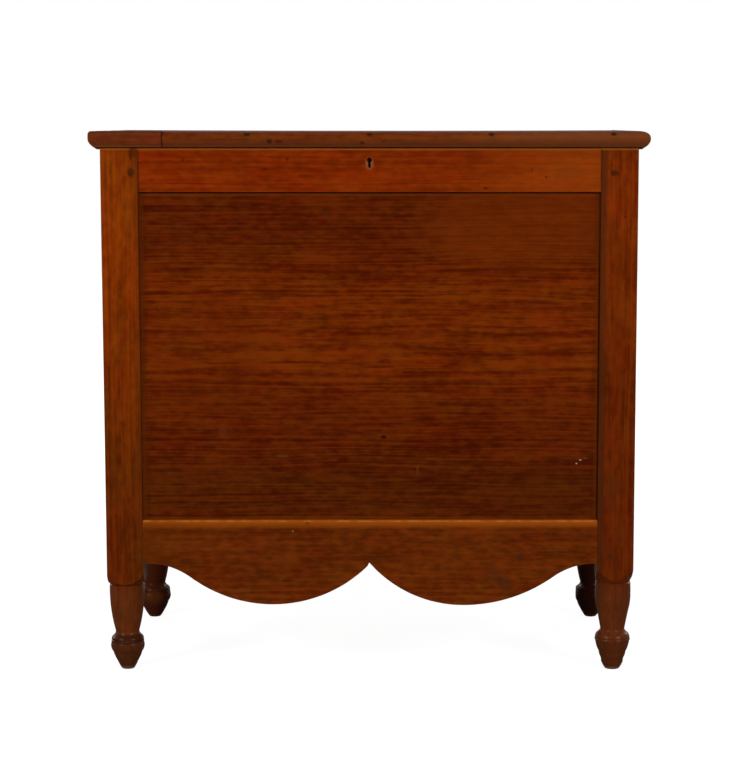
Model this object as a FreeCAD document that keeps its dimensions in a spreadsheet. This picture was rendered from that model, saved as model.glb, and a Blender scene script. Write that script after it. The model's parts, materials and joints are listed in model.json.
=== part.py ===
import FreeCAD, Part
import os
import Sketcher

# Sugar chest.
# A bin of frame and panel work on four posts with turned feet, under a hinged lid.
# Millimetres. Z is up, the floor is at zero, the front faces -Y, and the origin is the
# middle of the footprint.

# Driving dimensions: cell name, value, and what it measures.
SIZES = (
    ("case_width", 864, "outside of the posts, left to right"),
    ("case_depth", 440, "outside of the posts, front to back"),
    ("case_height", 860, "floor to the top of the posts"),
    ("post_width", 60, "side of the square post"),
    ("turned_height", 147, "floor to the groove under the pommel"),
    ("rail_thickness", 22, "rails and apron, front to back"),
    ("top_rail_height", 70.5, "height of the four top rails"),
    ("opening_height", 535, "panel opening, between top and bottom rails"),
    ("bottom_rail_height", 72, "bottom rails, and the apron at its ends"),
    ("lobe_drop", 68.5, "how far the lobes hang below the apron's ends"),
    ("cusp_rise", 70, "height of the cusp above the lobes"),
    ("panel_set_back", 9, "post face to panel face"),
    ("panel_thickness", 13, "panel in its field"),
    ("panel_tongue", 7, "thickness of the panel's edge in the grooves"),
    ("panel_border", 11, "flat border on the panel's back, from its edge to its bevel"),
    ("panel_bevel", 24, "width of the bevel round the raised field on the panel's back"),
    ("groove_depth", 10, "grooves that hold the panels"),
    ("panel_room", 1.5, "room for the panel to swell, each edge"),
    ("groove_slack", 0.2, "panel tongue to groove wall"),
    ("tenon_thickness", 9, "rail tenons"),
    ("tenon_length", 34, "rail tenons"),
    ("tenon_shoulder", 12, "top rail's upper edge to its tenon"),
    ("apron_shoulder", 4, "bottom rail's lower edge to its tenon"),
    ("joint_fit", 0.1, "tenon cheeks and pegs in their holes"),
    ("mortise_room", 1, "tenon end to mortise floor"),
    ("peg_radius", 3.75, "drawbore pegs"),
    ("peg_length", 34, "drawbore pegs"),
    ("peg_inset", 15, "post edge to peg"),
    ("top_peg_drop", 40, "top of the post to the upper pegs"),
    ("bottom_peg_rise", 14.5, "bottom rail's lower edge to the lower pegs"),
    ("peg_stand", 0.4, "how far a peg stands out of the post"),
    ("bottom_board_thickness", 18, "floor of the bin"),
    ("bottom_board_drop", 2.5, "bottom rails' upper edge to the floor of the bin"),
    ("board_gap", 0.8, "between loose boards, and to the rails"),
    ("cleat_section", 20, "strips under the floor of the bin"),
    ("cleat_nail_inset", 142, "post to the first nail of a long strip"),
    ("divider_thickness", 14, "board across the bin"),
    ("divider_drop", 76, "top of the posts to the divider"),
    ("divider_fit", 0.3, "divider in its grooves"),
    ("divider_cleat_width", 34, "grooved strips that hold the divider"),
    ("divider_cleat_thickness", 15, "grooved strips that hold the divider"),
    ("divider_groove", 8, "depth of the strips' grooves"),
    ("lid_thickness", 26.6, "lid boards"),
    ("lid_seat", 0.3, "top of the case to the closed lid"),
    ("lid_overhang", 17, "lid past the case on all four sides"),
    ("lid_board_reach", 1, "lid boards past the case, front and sides"),
    ("front_moulding_lift", 1, "lid's underside to the front moulding's lower edge"),
    ("side_lip", 2.6, "side mouldings below the lid's underside"),
    ("patch_length", 118, "separate left end of the front moulding"),
    ("mould_nail_rise", 20.2, "lid's underside to the moulding nails"),
    ("mould_nail_set", 2.4, "lid's edge to the heads of the moulding nails"),
    ("mould_nail_inset", 59, "right end of the front moulding to its last nail"),
    ("side_nail_inset", 87, "end of a side moulding to its first nail"),
    ("mould_nail_length", 36, "moulding nails"),
    ("nail_side", 2.2, "square shank of a cut nail"),
    ("nail_head_side", 4, "square head of a cut nail"),
    ("nail_head_height", 1.2, "head of a cut nail"),
    ("fastener_fit", 0.05, "screws and nails in their holes"),
    ("cleat_nail_length", 36, "nails through the strips"),
    ("hinge_length", 64, "butt hinges"),
    ("hinge_inset", 142, "end of the case to the middle of a hinge"),
    ("hinge_set_back", 4.3, "back of the case to the hinge axis"),
    ("hinge_reach", 20, "leaf over the back rail"),
    ("leaf_thickness", 1.8, "hinge leaves"),
    ("barrel_radius", 3.6, "hinge knuckles"),
    ("hinge_pin_radius", 1.5, "hinge pins"),
    ("pin_clearance", 0.06, "hinge pin in its knuckles"),
    ("knuckle_gap", 0.3, "between knuckles"),
    ("leaf_clearance", 0.4, "leaf edge to the other leaf's knuckles"),
    ("barrel_room", 0.7, "lid to the knuckles"),
    ("screw_radius", 1.6, "screw shanks"),
    ("screw_head_radius", 3, "screw heads"),
    ("screw_head_height", 1.5, "countersunk heads"),
    ("screw_length", 16, "hinge and lock screws"),
    ("screw_spacing", 22, "screws along a hinge leaf"),
    ("screw_inset", 9, "inner edge of a leaf to its screws"),
    ("lock_width", 77, "lock case"),
    ("lock_height", 50, "lock case under its top plate"),
    ("lock_depth", 12, "lock case, front to back"),
    ("lock_plate", 1.5, "lock case walls"),
    ("lock_top_width", 92, "top plate of the lock"),
    ("lock_top_thickness", 2.2, "top plate of the lock"),
    ("lock_fit", 0.2, "lock in the rail"),
    ("lock_screw_rise", 20, "lower screws of the lock to its upper ones"),
    ("keyhole_drop", 19.3, "top of the rail to the middle of the keyhole's head"),
    ("keyhole_radius", 4.35, "keyhole's head"),
    ("keyhole_slot_width", 4.6, "keyhole's slot"),
    ("keyhole_slot_drop", 12.1, "middle of the head to the foot of the slot"),
    ("key_pin_radius", 1.4, "pin that the key turns on"),
    ("bolt_thickness", 3, "lock bolt"),
    ("bolt_bar_height", 2.5, "lower bar of the bolt"),
    ("bolt_bar_drop", 14.3, "top of the rail to the bar's lower edge"),
    ("bolt_throw", 8, "travel of the bolt"),
    ("bolt_end_room", 2.5, "bolt to the lock's walls at both ends of its travel"),
    ("bolt_hook_height", 4, "finger of a bolt hook"),
    ("bolt_hook_length", 8, "finger of a bolt hook"),
    ("bolt_upright", 4, "upright of a bolt hook"),
    ("bolt_fit", 0.3, "bolt to its guides"),
    ("talon_width", 4, "teeth that the key pushes"),
    ("talon_height", 3, "teeth that the key pushes"),
    ("talon_gap", 10, "between the teeth"),
    ("eye_spacing", 24, "one eye of the link plate to the other"),
    ("eye_thickness", 3, "eye of the link plate"),
    ("eye_width", 7.6, "eye of the link plate, front to back"),
    ("eye_wall", 1.4, "metal round the hole of an eye"),
    ("eye_fit", 0.6, "eye to the bolt and to its slot"),
    ("link_length", 60, "link plate"),
    ("link_width", 13, "link plate"),
    ("link_thickness", 2, "link plate"),
    ("link_screw_spacing", 44, "screws of the link plate"),
    ("spring_thickness", 0.8, "leaf spring on the bolt"),
    ("spring_reach", 9, "leaf spring over the bolt"),
    ("overrun", 2, "how far a cutting solid passes a face"),
)

# Turned outlines, from the floor up. Each row is a radius as a share of half the post,
# a height as a share of the turned height, and the bow of the curve to the next row as
# a share of half the post, outwards when positive. The last row lies just past the square's
# corner, where the lathe's cut leaves the square alone above the pommel.
LEFT_FOOT_SHARES = (
    (0.340, 0.000, 0),
    (0.580, 0.094, 0),
    (0.800, 0.197, 0.077),
    (0.890, 0.310, 0),
    (0.890, 0.332, 0),
    (0.857, 0.337, 0),
    (0.883, 0.343, 0),
    (0.867, 0.363, 0),
    (0.822, 0.375, 0),
    (0.650, 0.426, 0),
    (0.647, 0.435, 0.060),
    (0.943, 0.841, 0),
    (0.943, 0.936, 0),
    (0.910, 0.946, 0),
    (0.940, 0.952, 0),
    (0.940, 0.970, 0),
    (0.897, 0.977, 0),
    (0.900, 0.984, 0),
    (0.973, 0.990, 0.047),
    (1.440, 1.126, 0),
)
RIGHT_FOOT_SHARES = (
    (0.360, 0.000, 0),
    (0.580, 0.083, 0),
    (0.627, 0.133, 0),
    (0.720, 0.197, 0.030),
    (0.920, 0.328, 0),
    (0.927, 0.340, 0),
    (0.900, 0.344, 0),
    (0.927, 0.350, 0),
    (0.917, 0.374, 0),
    (0.883, 0.388, 0),
    (0.673, 0.449, 0),
    (0.657, 0.459, 0),
    (0.933, 0.735, 0.017),
    (0.977, 0.871, 0),
    (0.970, 0.956, 0),
    (0.930, 0.965, 0),
    (0.963, 0.972, 0),
    (0.963, 0.993, 0),
    (0.920, 1.001, 0),
    (0.927, 1.010, -0.033),
    (1.440, 1.170, 0),
)

# Edge moulding, from its lower inner edge outwards and up. Each row is the way out from
# the board as a share of the moulding's width, the height as a share of the lid's
# thickness, and the bow of the curve to the next row as a share of the width.
MOULDING_SHARES = (
    (0.810, 0.237, 0.022),
    (0.970, 0.390, 0.019),
    (1.000, 0.520, 0),
    (1.000, 0.662, 0.056),
    (0.775, 0.838, 0.056),
    (0.325, 0.966, 0.019),
    (0.125, 1.000, 0),
)
# The moulding's lower slope comes back to the board at this share of the lid's thickness
# below its underside.
MOULDING_FOOT_SHARE = 0.21

# Places as shares of the length that they lie on.
LOBE_CENTRE_SHARE = 0.2124
OGEE_END_SHARE = 0.4909
LOBE_CURVE_SHARE = 0.655
KNUCKLES = 5

doc = FreeCAD.newDocument("SugarChest")
sheet = doc.addObject("Spreadsheet::Sheet", "Sizes")
for row, (alias, value, note) in enumerate(SIZES, start=1):
    sheet.set(f"A{row}", note)
    sheet.set(f"B{row}", str(value))
    sheet.setAlias(f"B{row}", alias)
doc.recompute()


class Size:
    """A length with the formula, in cell names, that gives it."""

    def __init__(self, value, text):
        self.value = value
        self.text = text

    def __add__(self, other):
        other = sized(other)
        return Size(self.value + other.value, f"({self.text} + {other.text})")

    def __sub__(self, other):
        other = sized(other)
        return Size(self.value - other.value, f"({self.text} - {other.text})")

    def __rsub__(self, other):
        return sized(other) - self

    def __mul__(self, other):
        other = sized(other)
        return Size(self.value * other.value, f"({self.text} * {other.text})")

    def __truediv__(self, other):
        other = sized(other)
        return Size(self.value / other.value, f"({self.text} / {other.text})")

    def __neg__(self):
        return sized(0) - self

    __radd__ = __add__
    __rmul__ = __mul__


def sized(number):
    """A plain number as a Size."""
    if isinstance(number, Size):
        return number
    return Size(float(number), f"({float(number):.10f})")


class Cells:
    """Reads a cell of the sheet by its name."""

    def __getattr__(self, alias):
        return Size(float(sheet.get(alias)), f"Sizes.{alias}")


cell = Cells()
parts = {}


def bind(item, prop, size):
    """Ties one property of an object to the sheet."""
    item.setExpression(prop, sized(size).text)


def keep(node, item):
    """Names a finished sub-part."""
    item.Label = node
    parts[node] = item
    return item


def ordered(first, second):
    """Two sizes, the lower one first."""
    pair = (sized(first), sized(second))
    return pair if pair[0].value <= pair[1].value else pair[::-1]


def block(name, first, second):
    """A box between two opposite corners."""
    box = doc.addObject("Part::Box", name)
    for axis, edge, start, end in zip("xyz", ("Length", "Width", "Height"), first, second):
        low, high = ordered(start, end)
        bind(box, f"Placement.Base.{axis}", low)
        bind(box, edge, high - low)
    return box


# Turns that lay a cylinder's own +Z along the direction named.
TURNS = {
    "+x": FreeCAD.Rotation(FreeCAD.Vector(0, 1, 0), 90),
    "-x": FreeCAD.Rotation(FreeCAD.Vector(0, 1, 0), -90),
    "+y": FreeCAD.Rotation(FreeCAD.Vector(1, 0, 0), -90),
    "-y": FreeCAD.Rotation(FreeCAD.Vector(1, 0, 0), 90),
    "+z": FreeCAD.Rotation(),
    "-z": FreeCAD.Rotation(FreeCAD.Vector(1, 0, 0), 180),
}


def aim(item, place, along):
    """Puts a round solid at a place with its length along a direction."""
    item.Placement = FreeCAD.Placement(FreeCAD.Vector(), TURNS[along])
    for axis, where in zip("xyz", place):
        bind(item, f"Placement.Base.{axis}", where)
    return item


def rod(name, place, along, radius, length):
    """A cylinder from a place along a direction."""
    cylinder = doc.addObject("Part::Cylinder", name)
    bind(cylinder, "Radius", radius)
    bind(cylinder, "Height", length)
    return aim(cylinder, place, along)


def cone(name, place, along, radius, end_radius, length):
    """A cone that narrows from a place along a direction."""
    solid = doc.addObject("Part::Cone", name)
    bind(solid, "Radius1", radius)
    bind(solid, "Radius2", end_radius)
    bind(solid, "Height", length)
    return aim(solid, place, along)


def fused(name, pieces):
    """One solid of several that touch or overlap."""
    union = doc.addObject("Part::MultiFuse", name)
    union.Shapes = pieces
    union.Refine = True
    return union


def group(name, pieces):
    """Separate solids under one name."""
    compound = doc.addObject("Part::Compound", name)
    compound.Links = pieces
    return compound


def cut(name, base, tools):
    """A solid with others taken out of it."""
    result = doc.addObject("Part::Cut", name)
    result.Base = base
    result.Tool = tools[0] if len(tools) == 1 else group(f"{name}_tools", tools)
    return result


def outline(body, name, plane, corners, offset=0):
    """A closed sketch. Each corner is (across, up, bow of the curve to the next corner).

    Every corner is held by its two distances from the origin, and every arc by a radius
    worked out from its chord and its bow.
    """
    sketch = body.newObject("Sketcher::SketchObject", name)
    origin_plane = [item for item in body.Origin.OriginFeatures if item.Role == plane][0]
    sketch.AttachmentSupport = [(origin_plane, "")]
    sketch.MapMode = "FlatFace"
    bind(sketch, "AttachmentOffset.Base.z", offset)
    points = [FreeCAD.Vector(sized(x).value, sized(y).value, 0) for x, y, _ in corners]
    ends = []
    count = len(corners)
    for index, (across, up, bow) in enumerate(corners):
        start = points[index]
        end = points[(index + 1) % count]
        bow_size = sized(bow)
        if bow_size.value:
            chord = end - start
            side = FreeCAD.Vector(chord.y, -chord.x, 0).normalize() * bow_size.value
            curve = Part.Arc(start, start + chord / 2 + side, end)
            edge = sketch.addGeometry(curve)
        else:
            edge = sketch.addGeometry(Part.LineSegment(start, end))
        forward = (sketch.getPoint(edge, 1) - start).Length < (sketch.getPoint(edge, 2) - start).Length
        ends.append((edge, 1, 2) if forward else (edge, 2, 1))
    for index in range(count):
        edge, first, last = ends[index]
        after, after_first, _ = ends[(index + 1) % count]
        sketch.addConstraint(Sketcher.Constraint("Coincident", edge, last, after, after_first))
    for index, (across, up, bow) in enumerate(corners):
        edge, first, _ = ends[index]
        for kind, size in (("DistanceX", sized(across)), ("DistanceY", sized(up))):
            made = sketch.addConstraint(
                Sketcher.Constraint(kind, -1, 1, edge, first, size.value)
            )
            bind(sketch, f"Constraints[{made}]", size)
        if sized(bow).value:
            next_across, next_up, _ = corners[(index + 1) % count]
            run = sized(next_across) - across
            rise = sized(next_up) - up
            size = sized(bow)
            if size.value < 0:
                size = -size
            radius = (run * run + rise * rise) / (8 * size) + size / 2
            made = sketch.addConstraint(Sketcher.Constraint("Radius", edge, radius.value))
            bind(sketch, f"Constraints[{made}]", radius)
    return sketch


def padded(name, plane, corners, length, offset=0):
    """A body with one sketch drawn out to a length."""
    body = doc.addObject("PartDesign::Body", name)
    pad = body.newObject("PartDesign::Pad", f"{name}_pad")
    sketch = outline(body, f"{name}_outline", plane, corners, offset)
    pad.Profile = sketch
    bind(pad, "Length", length)
    return body


def screw_form(name, place, along, slack=0):
    """A countersunk screw, or with slack its hole. The place is the middle of its head."""
    head = cone(
        f"{name}_head", place, along,
        cell.screw_head_radius + slack, cell.screw_radius + slack, cell.screw_head_height,
    )
    shank = rod(f"{name}_shank", place, along, cell.screw_radius + slack, cell.screw_length + slack)
    return fused(name, [head, shank])


def screw_hole(name, place, along):
    """The hole under a countersunk screw in a piece that only its shank reaches."""
    fit = cell.fastener_fit
    return rod(name, place, along, cell.screw_radius + fit, cell.screw_length + fit)


def nail_form(name, place, along, length, slack=0, sunk=0):
    """A cut nail, square with a square head, or with slack its hole.

    A sunk nail starts below the place, and its hole at the place.
    """
    axis = "xyz".index(along[1])
    sign = 1 if along[0] == "+" else -1
    pieces = []
    for part, side, reach in (
        ("head", cell.nail_head_side, cell.nail_head_height),
        ("shank", cell.nail_side, length),
    ):
        half = side / 2 + slack
        first = [where - half for where in place]
        second = [where + half for where in place]
        first[axis] = sized(place[axis]) if slack else place[axis] + sign * sunk
        second[axis] = place[axis] + sign * (sunk + reach + slack)
        pieces.append(block(f"{name}_{part}", first, second))
    return fused(name, pieces)


# Main levels and lines
half_width = cell.case_width / 2
half_depth = cell.case_depth / 2
half_post = cell.post_width / 2
case_top = cell.case_height
opening_top = case_top - cell.top_rail_height
opening_bottom = opening_top - cell.opening_height
rail_bottom = opening_bottom - cell.bottom_rail_height
groove_back = cell.panel_set_back + cell.panel_tongue + cell.groove_slack
lid_bottom = case_top + cell.lid_seat
lid_top = lid_bottom + cell.lid_thickness

# The four sides of the case. A side has its own frame: along the side, inwards from its
# outer face, and up.
SIDES = ("front", "back", "left", "right")


def half_span(side):
    """Half of the clear length between a side's two posts."""
    half = half_width if side in ("front", "back") else half_depth
    return half - cell.post_width


def at(side, along, inward, up):
    """A point of a side's frame in the chest's frame."""
    if side == "front":
        return (along, inward - half_depth, up)
    if side == "back":
        return (along, half_depth - inward, up)
    if side == "left":
        return (inward - half_width, along, up)
    return (half_width - inward, along, up)


INWARD = {"front": "+y", "back": "-y", "left": "+x", "right": "-x"}


def side_block(side, name, low, high):
    """A box given in a side's frame."""
    return block(name, at(side, *low), at(side, *high))


def tenon(side, end, name, bottom, top, slack=0, room=0):
    """A tenon at one end of a rail, or with slack its mortise."""
    shoulder = half_span(side) - room
    front = cell.panel_set_back - slack
    return side_block(
        side, name,
        (end * shoulder, front, bottom - slack),
        (
            end * (half_span(side) + cell.tenon_length + room),
            cell.panel_set_back + cell.tenon_thickness + slack,
            top + slack,
        ),
    )


def top_tenon(side, end, name, slack=0, room=0):
    """The tenon or mortise of a top rail."""
    return tenon(side, end, name, opening_top + cell.groove_depth,
                 case_top - cell.tenon_shoulder, slack, room)


def bottom_tenon(side, end, name, slack=0, room=0):
    """The tenon or mortise of a bottom rail."""
    return tenon(side, end, name, rail_bottom + cell.apron_shoulder,
                 opening_bottom - cell.groove_depth, slack, room)


def peg_form(side, end, name, up, slack=0):
    """A peg, or with slack its hole, driven in from a side's outer face."""
    place = at(side, end * (half_span(side) + cell.peg_inset), -cell.peg_stand, up)
    return rod(name, place, INWARD[side], cell.peg_radius + slack,
               cell.peg_length + cell.peg_stand + slack)


def peg_heights():
    """The heights of the upper and the lower pegs."""
    return (case_top - cell.top_peg_drop, rail_bottom + cell.bottom_peg_rise)


def groove(side, name, low_along, high_along, bottom, top):
    """A groove for a panel's edge."""
    return side_block(
        side, name,
        (low_along, cell.panel_set_back - cell.groove_slack, bottom),
        (high_along, groove_back, top),
    )


# Posts
def foot_outline(shares):
    """Half section of a post turned on its axis, from the floor to the top of the case."""
    corners = [(0, 0, 0)]
    for radius, height, bow in shares:
        corners.append((radius * half_post, height * cell.turned_height, bow * half_post))
    past_corner, _, _ = corners[-1]
    corners.append((past_corner, case_top, 0))
    corners.append((0, case_top, 0))
    return corners


def post(node, end_x, end_y, shares):
    """A corner post: a square stick on which the lathe has cut the foot and the pommel."""
    axis_x = end_x * (half_width - half_post)
    axis_y = end_y * (half_depth - half_post)
    turned = doc.addObject("PartDesign::Body", f"{node}_turned")
    turn = turned.newObject("PartDesign::Revolution", f"{node}_turn")
    sketch = outline(turned, f"{node}_section", "XZ_Plane", foot_outline(shares))
    turn.Profile = sketch
    turn.ReferenceAxis = (sketch, ["V_Axis"])
    bind(turned, "Placement.Base.x", axis_x)
    bind(turned, "Placement.Base.y", axis_y)
    square = block(
        f"{node}_square",
        (axis_x - half_post, axis_y - half_post, 0),
        (axis_x + half_post, axis_y + half_post, case_top),
    )
    stick = doc.addObject("Part::Common", f"{node}_stick")
    stick.Base = square
    stick.Tool = turned
    tools = []
    for side, end in (
        ("front" if end_y < 0 else "back", end_x),
        ("left" if end_x < 0 else "right", end_y),
    ):
        name = f"{node}_{side}"
        room = cell.mortise_room
        tools.append(top_tenon(side, end, f"{name}_top_mortise", cell.joint_fit, room))
        tools.append(bottom_tenon(side, end, f"{name}_bottom_mortise", cell.joint_fit, room))
        tools.append(groove(
            side, f"{name}_groove",
            end * (half_span(side) - cell.overrun), end * (half_span(side) + cell.groove_depth),
            opening_bottom - cell.groove_depth, opening_top + cell.groove_depth,
        ))
        for level, up in enumerate(peg_heights()):
            tools.append(peg_form(side, end, f"{name}_peg_hole_{level}", up, cell.joint_fit))
    keep(node, cut(f"{node}_cut", stick, tools))


for place_x, end_x, shares in (("left", -1, LEFT_FOOT_SHARES), ("right", 1, RIGHT_FOOT_SHARES)):
    for place_y, end_y in (("front", -1), ("back", 1)):
        post(f"post_{place_y}_{place_x}", end_x, end_y, shares)


def peg_holes(side, name, level):
    """The holes that a rail's two tenons have for their pegs."""
    up = peg_heights()[level]
    return [peg_form(side, end, f"{name}_hole_{end}", up, cell.joint_fit) for end in (-1, 1)]


# Lock fittings, placed from the inner face of the front rail
rail_inner = cell.rail_thickness - half_depth
lock_top_bottom = case_top - cell.lock_top_thickness
lock_front = rail_inner - cell.lock_depth
lock_bottom = lock_top_bottom - cell.lock_height
lock_middle = rail_inner - cell.lock_depth / 2
key_height = case_top - cell.keyhole_drop
half_lock = cell.lock_width / 2
half_lock_top = cell.lock_top_width / 2


def keyhole_form(name, front, back, slack=0):
    """A keyhole: a round head over a narrower slot."""
    head = rod(f"{name}_head", (0, front, key_height), "+y", cell.keyhole_radius + slack, back - front)
    half_slot = cell.keyhole_slot_width / 2 + slack
    slot = block(
        f"{name}_slot",
        (-half_slot, front, key_height - cell.keyhole_slot_drop - slack),
        (half_slot, back, key_height),
    )
    return fused(name, [head, slot])


def lock_screw_places():
    """The heads of the four screws that hold the lock."""
    inset_x = half_lock - cell.screw_head_radius - cell.lock_plate - cell.screw_radius
    low = lock_bottom + cell.lock_plate + cell.screw_head_radius + cell.screw_radius
    high = low + cell.lock_screw_rise
    return [(end * inset_x, rail_inner, up) for end in (-1, 1) for up in (low, high)]


lock_fit = cell.lock_fit
lock_pocket = fused("lock_pocket", [
    block(
        "lock_pocket_body",
        (-half_lock - lock_fit, lock_front - lock_fit, lock_bottom - lock_fit),
        (half_lock + lock_fit, rail_inner + cell.overrun, case_top),
    ),
    block(
        "lock_pocket_top",
        (-half_lock_top - lock_fit, lock_front - lock_fit, lock_top_bottom),
        (half_lock_top + lock_fit, rail_inner + cell.overrun, case_top + cell.overrun),
    ),
])

# Hinge lines
hinge_y = half_depth + cell.hinge_set_back
hinge_z = case_top + cell.lid_seat / 2
leaf_edge = hinge_y - cell.barrel_radius - cell.leaf_clearance
leaf_inner = half_depth - cell.hinge_reach
half_hinge = cell.hinge_length / 2
HINGES = (("left", -1), ("right", 1))


def hinge_middle(end):
    """The middle of the hinge at one end."""
    return end * (half_width - cell.hinge_inset)


def hinge_screw_places(end, level):
    """The heads of a leaf's three screws."""
    middle = hinge_middle(end)
    return [
        (middle + step * cell.screw_spacing, leaf_inner + cell.screw_inset, level)
        for step in (-1, 0, 1)
    ]


# Rails
def rail(node, side, bottom, top, body_solid=None, extra_cuts=()):
    """A rail between two posts, with its tenons, its panel groove and its peg holes."""
    upper = node.endswith("top")
    half = half_span(side)
    solid = body_solid or side_block(
        side, f"{node}_bar", (-half, 0, bottom), (half, cell.rail_thickness, top)
    )
    make_tenon = top_tenon if upper else bottom_tenon
    tenons = [make_tenon(side, end, f"{node}_tenon_{end}") for end in (-1, 1)]
    if upper:
        edge = (bottom - cell.overrun, bottom + cell.groove_depth)
    else:
        edge = (top - cell.groove_depth, top + cell.overrun)
    panel_groove = groove(side, f"{node}_groove", -half, half, *edge)
    holes = peg_holes(side, node, 0 if upper else 1)
    stock = fused(f"{node}_stock", [solid, *tenons])
    keep(node, cut(f"{node}_cut", stock, [panel_groove, *holes, *extra_cuts]))


keyhole_cut = keyhole_form("rail_keyhole", -half_depth - cell.overrun, lock_front)
rail("rail_front_top", "front", opening_top, case_top, None, [
    lock_pocket,
    keyhole_cut,
    *[
        screw_hole(f"lock_screw_hole_{index}", place, "-y")
        for index, place in enumerate(lock_screw_places())
    ],
])

leaf_recesses = [
    block(
        f"leaf_recess_{name}",
        (hinge_middle(end) - half_hinge - cell.joint_fit, leaf_inner - cell.joint_fit,
         case_top - cell.leaf_thickness),
        (hinge_middle(end) + half_hinge + cell.joint_fit, half_depth + cell.overrun,
         case_top + cell.overrun),
    )
    for name, end in HINGES
]
rail("rail_back_top", "back", opening_top, case_top, None, [
    *leaf_recesses,
    *[
        screw_hole(f"case_screw_hole_{name}_{index}", place, "-z")
        for name, end in HINGES
        for index, place in enumerate(hinge_screw_places(end, case_top))
    ],
])
for side in ("left", "right"):
    rail(f"rail_{side}_top", side, opening_top, case_top)


# Apron: half of it is drawn and mirrored
def apron_half():
    """The right half of the apron: cusp, lobe, ogee and straight end."""
    half = half_span("front")
    centre = LOBE_CENTRE_SHARE * 2 * half
    low = rail_bottom - cell.lobe_drop
    cusp_bow_radius = (centre * centre + cell.cusp_rise * cell.cusp_rise) / (2 * cell.cusp_rise)
    ogee_end = OGEE_END_SHARE * 2 * half
    run = ogee_end - centre
    rise = cell.lobe_drop
    slope = rise / run
    sine = 2 * slope / (1 + slope * slope)
    cosine = (1 - slope * slope) / (1 + slope * slope)
    reach = run / sine
    lobe_radius = LOBE_CURVE_SHARE * reach
    ogee_radius = reach - lobe_radius
    turn_x = centre + lobe_radius * sine
    turn_z = low + lobe_radius * (1 - cosine)
    corners = (
        (0, low + cell.cusp_rise), (centre, low), (turn_x, turn_z), (ogee_end, rail_bottom),
        (half, rail_bottom), (half, opening_bottom), (0, opening_bottom),
    )
    return corners, (cusp_bow_radius, lobe_radius, ogee_radius)


def bow_of(radius, start, end):
    """The bow of an arc of a known radius over a chord, to second order and above."""
    run = sized(end[0]) - start[0]
    rise = sized(end[1]) - start[1]
    chord_square = run * run + rise * rise
    half_value = chord_square.value / 4
    root = Size(
        (radius.value ** 2 - half_value) ** 0.5,
        f"sqrt({(radius * radius - chord_square / 4).text})",
    )
    return radius - root


apron_corners, (cusp_radius, lobe_radius, ogee_radius) = apron_half()
apron_bows = (
    bow_of(cusp_radius, *apron_corners[0:2]),
    bow_of(lobe_radius, *apron_corners[1:3]),
    -bow_of(ogee_radius, *apron_corners[2:4]),
    0, 0, 0, 0,
)
apron_body = padded(
    "apron_profile", "XZ_Plane",
    [(*corner, bow) for corner, bow in zip(apron_corners, apron_bows)],
    cell.rail_thickness, half_depth - cell.rail_thickness,
)
apron_mirror = apron_body.newObject("PartDesign::Mirrored", "apron_mirror")
apron_mirror.Originals = [doc.getObject("apron_profile_pad")]
apron_mirror.MirrorPlane = (doc.getObject("apron_profile_outline"), ["V_Axis"])
apron_body.Tip = apron_mirror
rail("apron_front", "front", rail_bottom, opening_bottom, apron_body)
for side in ("back", "left", "right"):
    rail(f"rail_{side}_bottom", side, rail_bottom, opening_bottom)


# Panels
# Turns that lay a solid's own +Y inwards from each side.
FACING = {
    "front": FreeCAD.Rotation(),
    "back": FreeCAD.Rotation(FreeCAD.Vector(0, 0, 1), 180),
    "left": FreeCAD.Rotation(FreeCAD.Vector(0, 0, 1), -90),
    "right": FreeCAD.Rotation(FreeCAD.Vector(0, 0, 1), 90),
}


def panel(node, side):
    """A panel, flat outside, with a raised and bevelled field on its back."""
    reach = cell.groove_depth - cell.panel_room
    half = half_span(side) + reach
    bottom = opening_bottom - reach
    top = opening_top + reach
    face = cell.panel_set_back
    tongue_back = face + cell.panel_tongue
    board = side_block(side, f"{node}_board", (-half, face, bottom), (half, tongue_back, top))
    field = doc.addObject("Part::Wedge", f"{node}_field")
    field.Placement = FreeCAD.Placement(FreeCAD.Vector(), FACING[side])
    for axis, where in zip("xyz", at(side, 0, 0, 0)):
        bind(field, f"Placement.Base.{axis}", where)
    bind(field, "Ymin", tongue_back)
    bind(field, "Ymax", face + cell.panel_thickness)
    for inset, low_x, high_x, low_z, high_z in (
        (cell.panel_border, "Xmin", "Xmax", "Zmin", "Zmax"),
        (cell.panel_border + cell.panel_bevel, "X2min", "X2max", "Z2min", "Z2max"),
    ):
        bind(field, low_x, -half + inset)
        bind(field, high_x, half - inset)
        bind(field, low_z, bottom + inset)
        bind(field, high_z, top - inset)
    keep(node, fused(f"{node}_solid", [board, field]))


for side in SIDES:
    panel(f"panel_{side}", side)

# Pegs
for side in SIDES:
    keep(f"pegs_{side}", group(f"pegs_{side}_group", [
        peg_form(side, end, f"peg_{side}_{level}_{end}", up)
        for level, up in enumerate(peg_heights())
        for end in (-1, 1)
    ]))

# Floor of the bin
floor_top = opening_bottom - cell.bottom_board_drop
floor_bottom = floor_top - cell.bottom_board_thickness
bin_half_width = half_width - cell.rail_thickness
bin_half_depth = half_depth - cell.rail_thickness
gap = cell.board_gap
board_half = bin_half_width / 3
for node, low, high, ends in (
    ("bottom_board_left", -bin_half_width + gap, -board_half - gap / 2, (-1,)),
    ("bottom_board_middle", -board_half + gap / 2, board_half - gap / 2, ()),
    ("bottom_board_right", board_half + gap / 2, bin_half_width - gap, (1,)),
):
    board = block(
        f"{node}_board",
        (low, -bin_half_depth + gap, floor_bottom),
        (high, bin_half_depth - gap, floor_top),
    )
    notches = [
        block(
            f"{node}_notch_{end_x}_{end_y}",
            (end_x * (half_span("front") - gap), end_y * (half_span("left") - gap),
             floor_bottom - cell.overrun),
            (end_x * half_width, end_y * half_depth, floor_top + cell.overrun),
        )
        for end_x in ends
        for end_y in (-1, 1)
    ]
    keep(node, cut(f"{node}_cut", board, notches) if notches else board)


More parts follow.
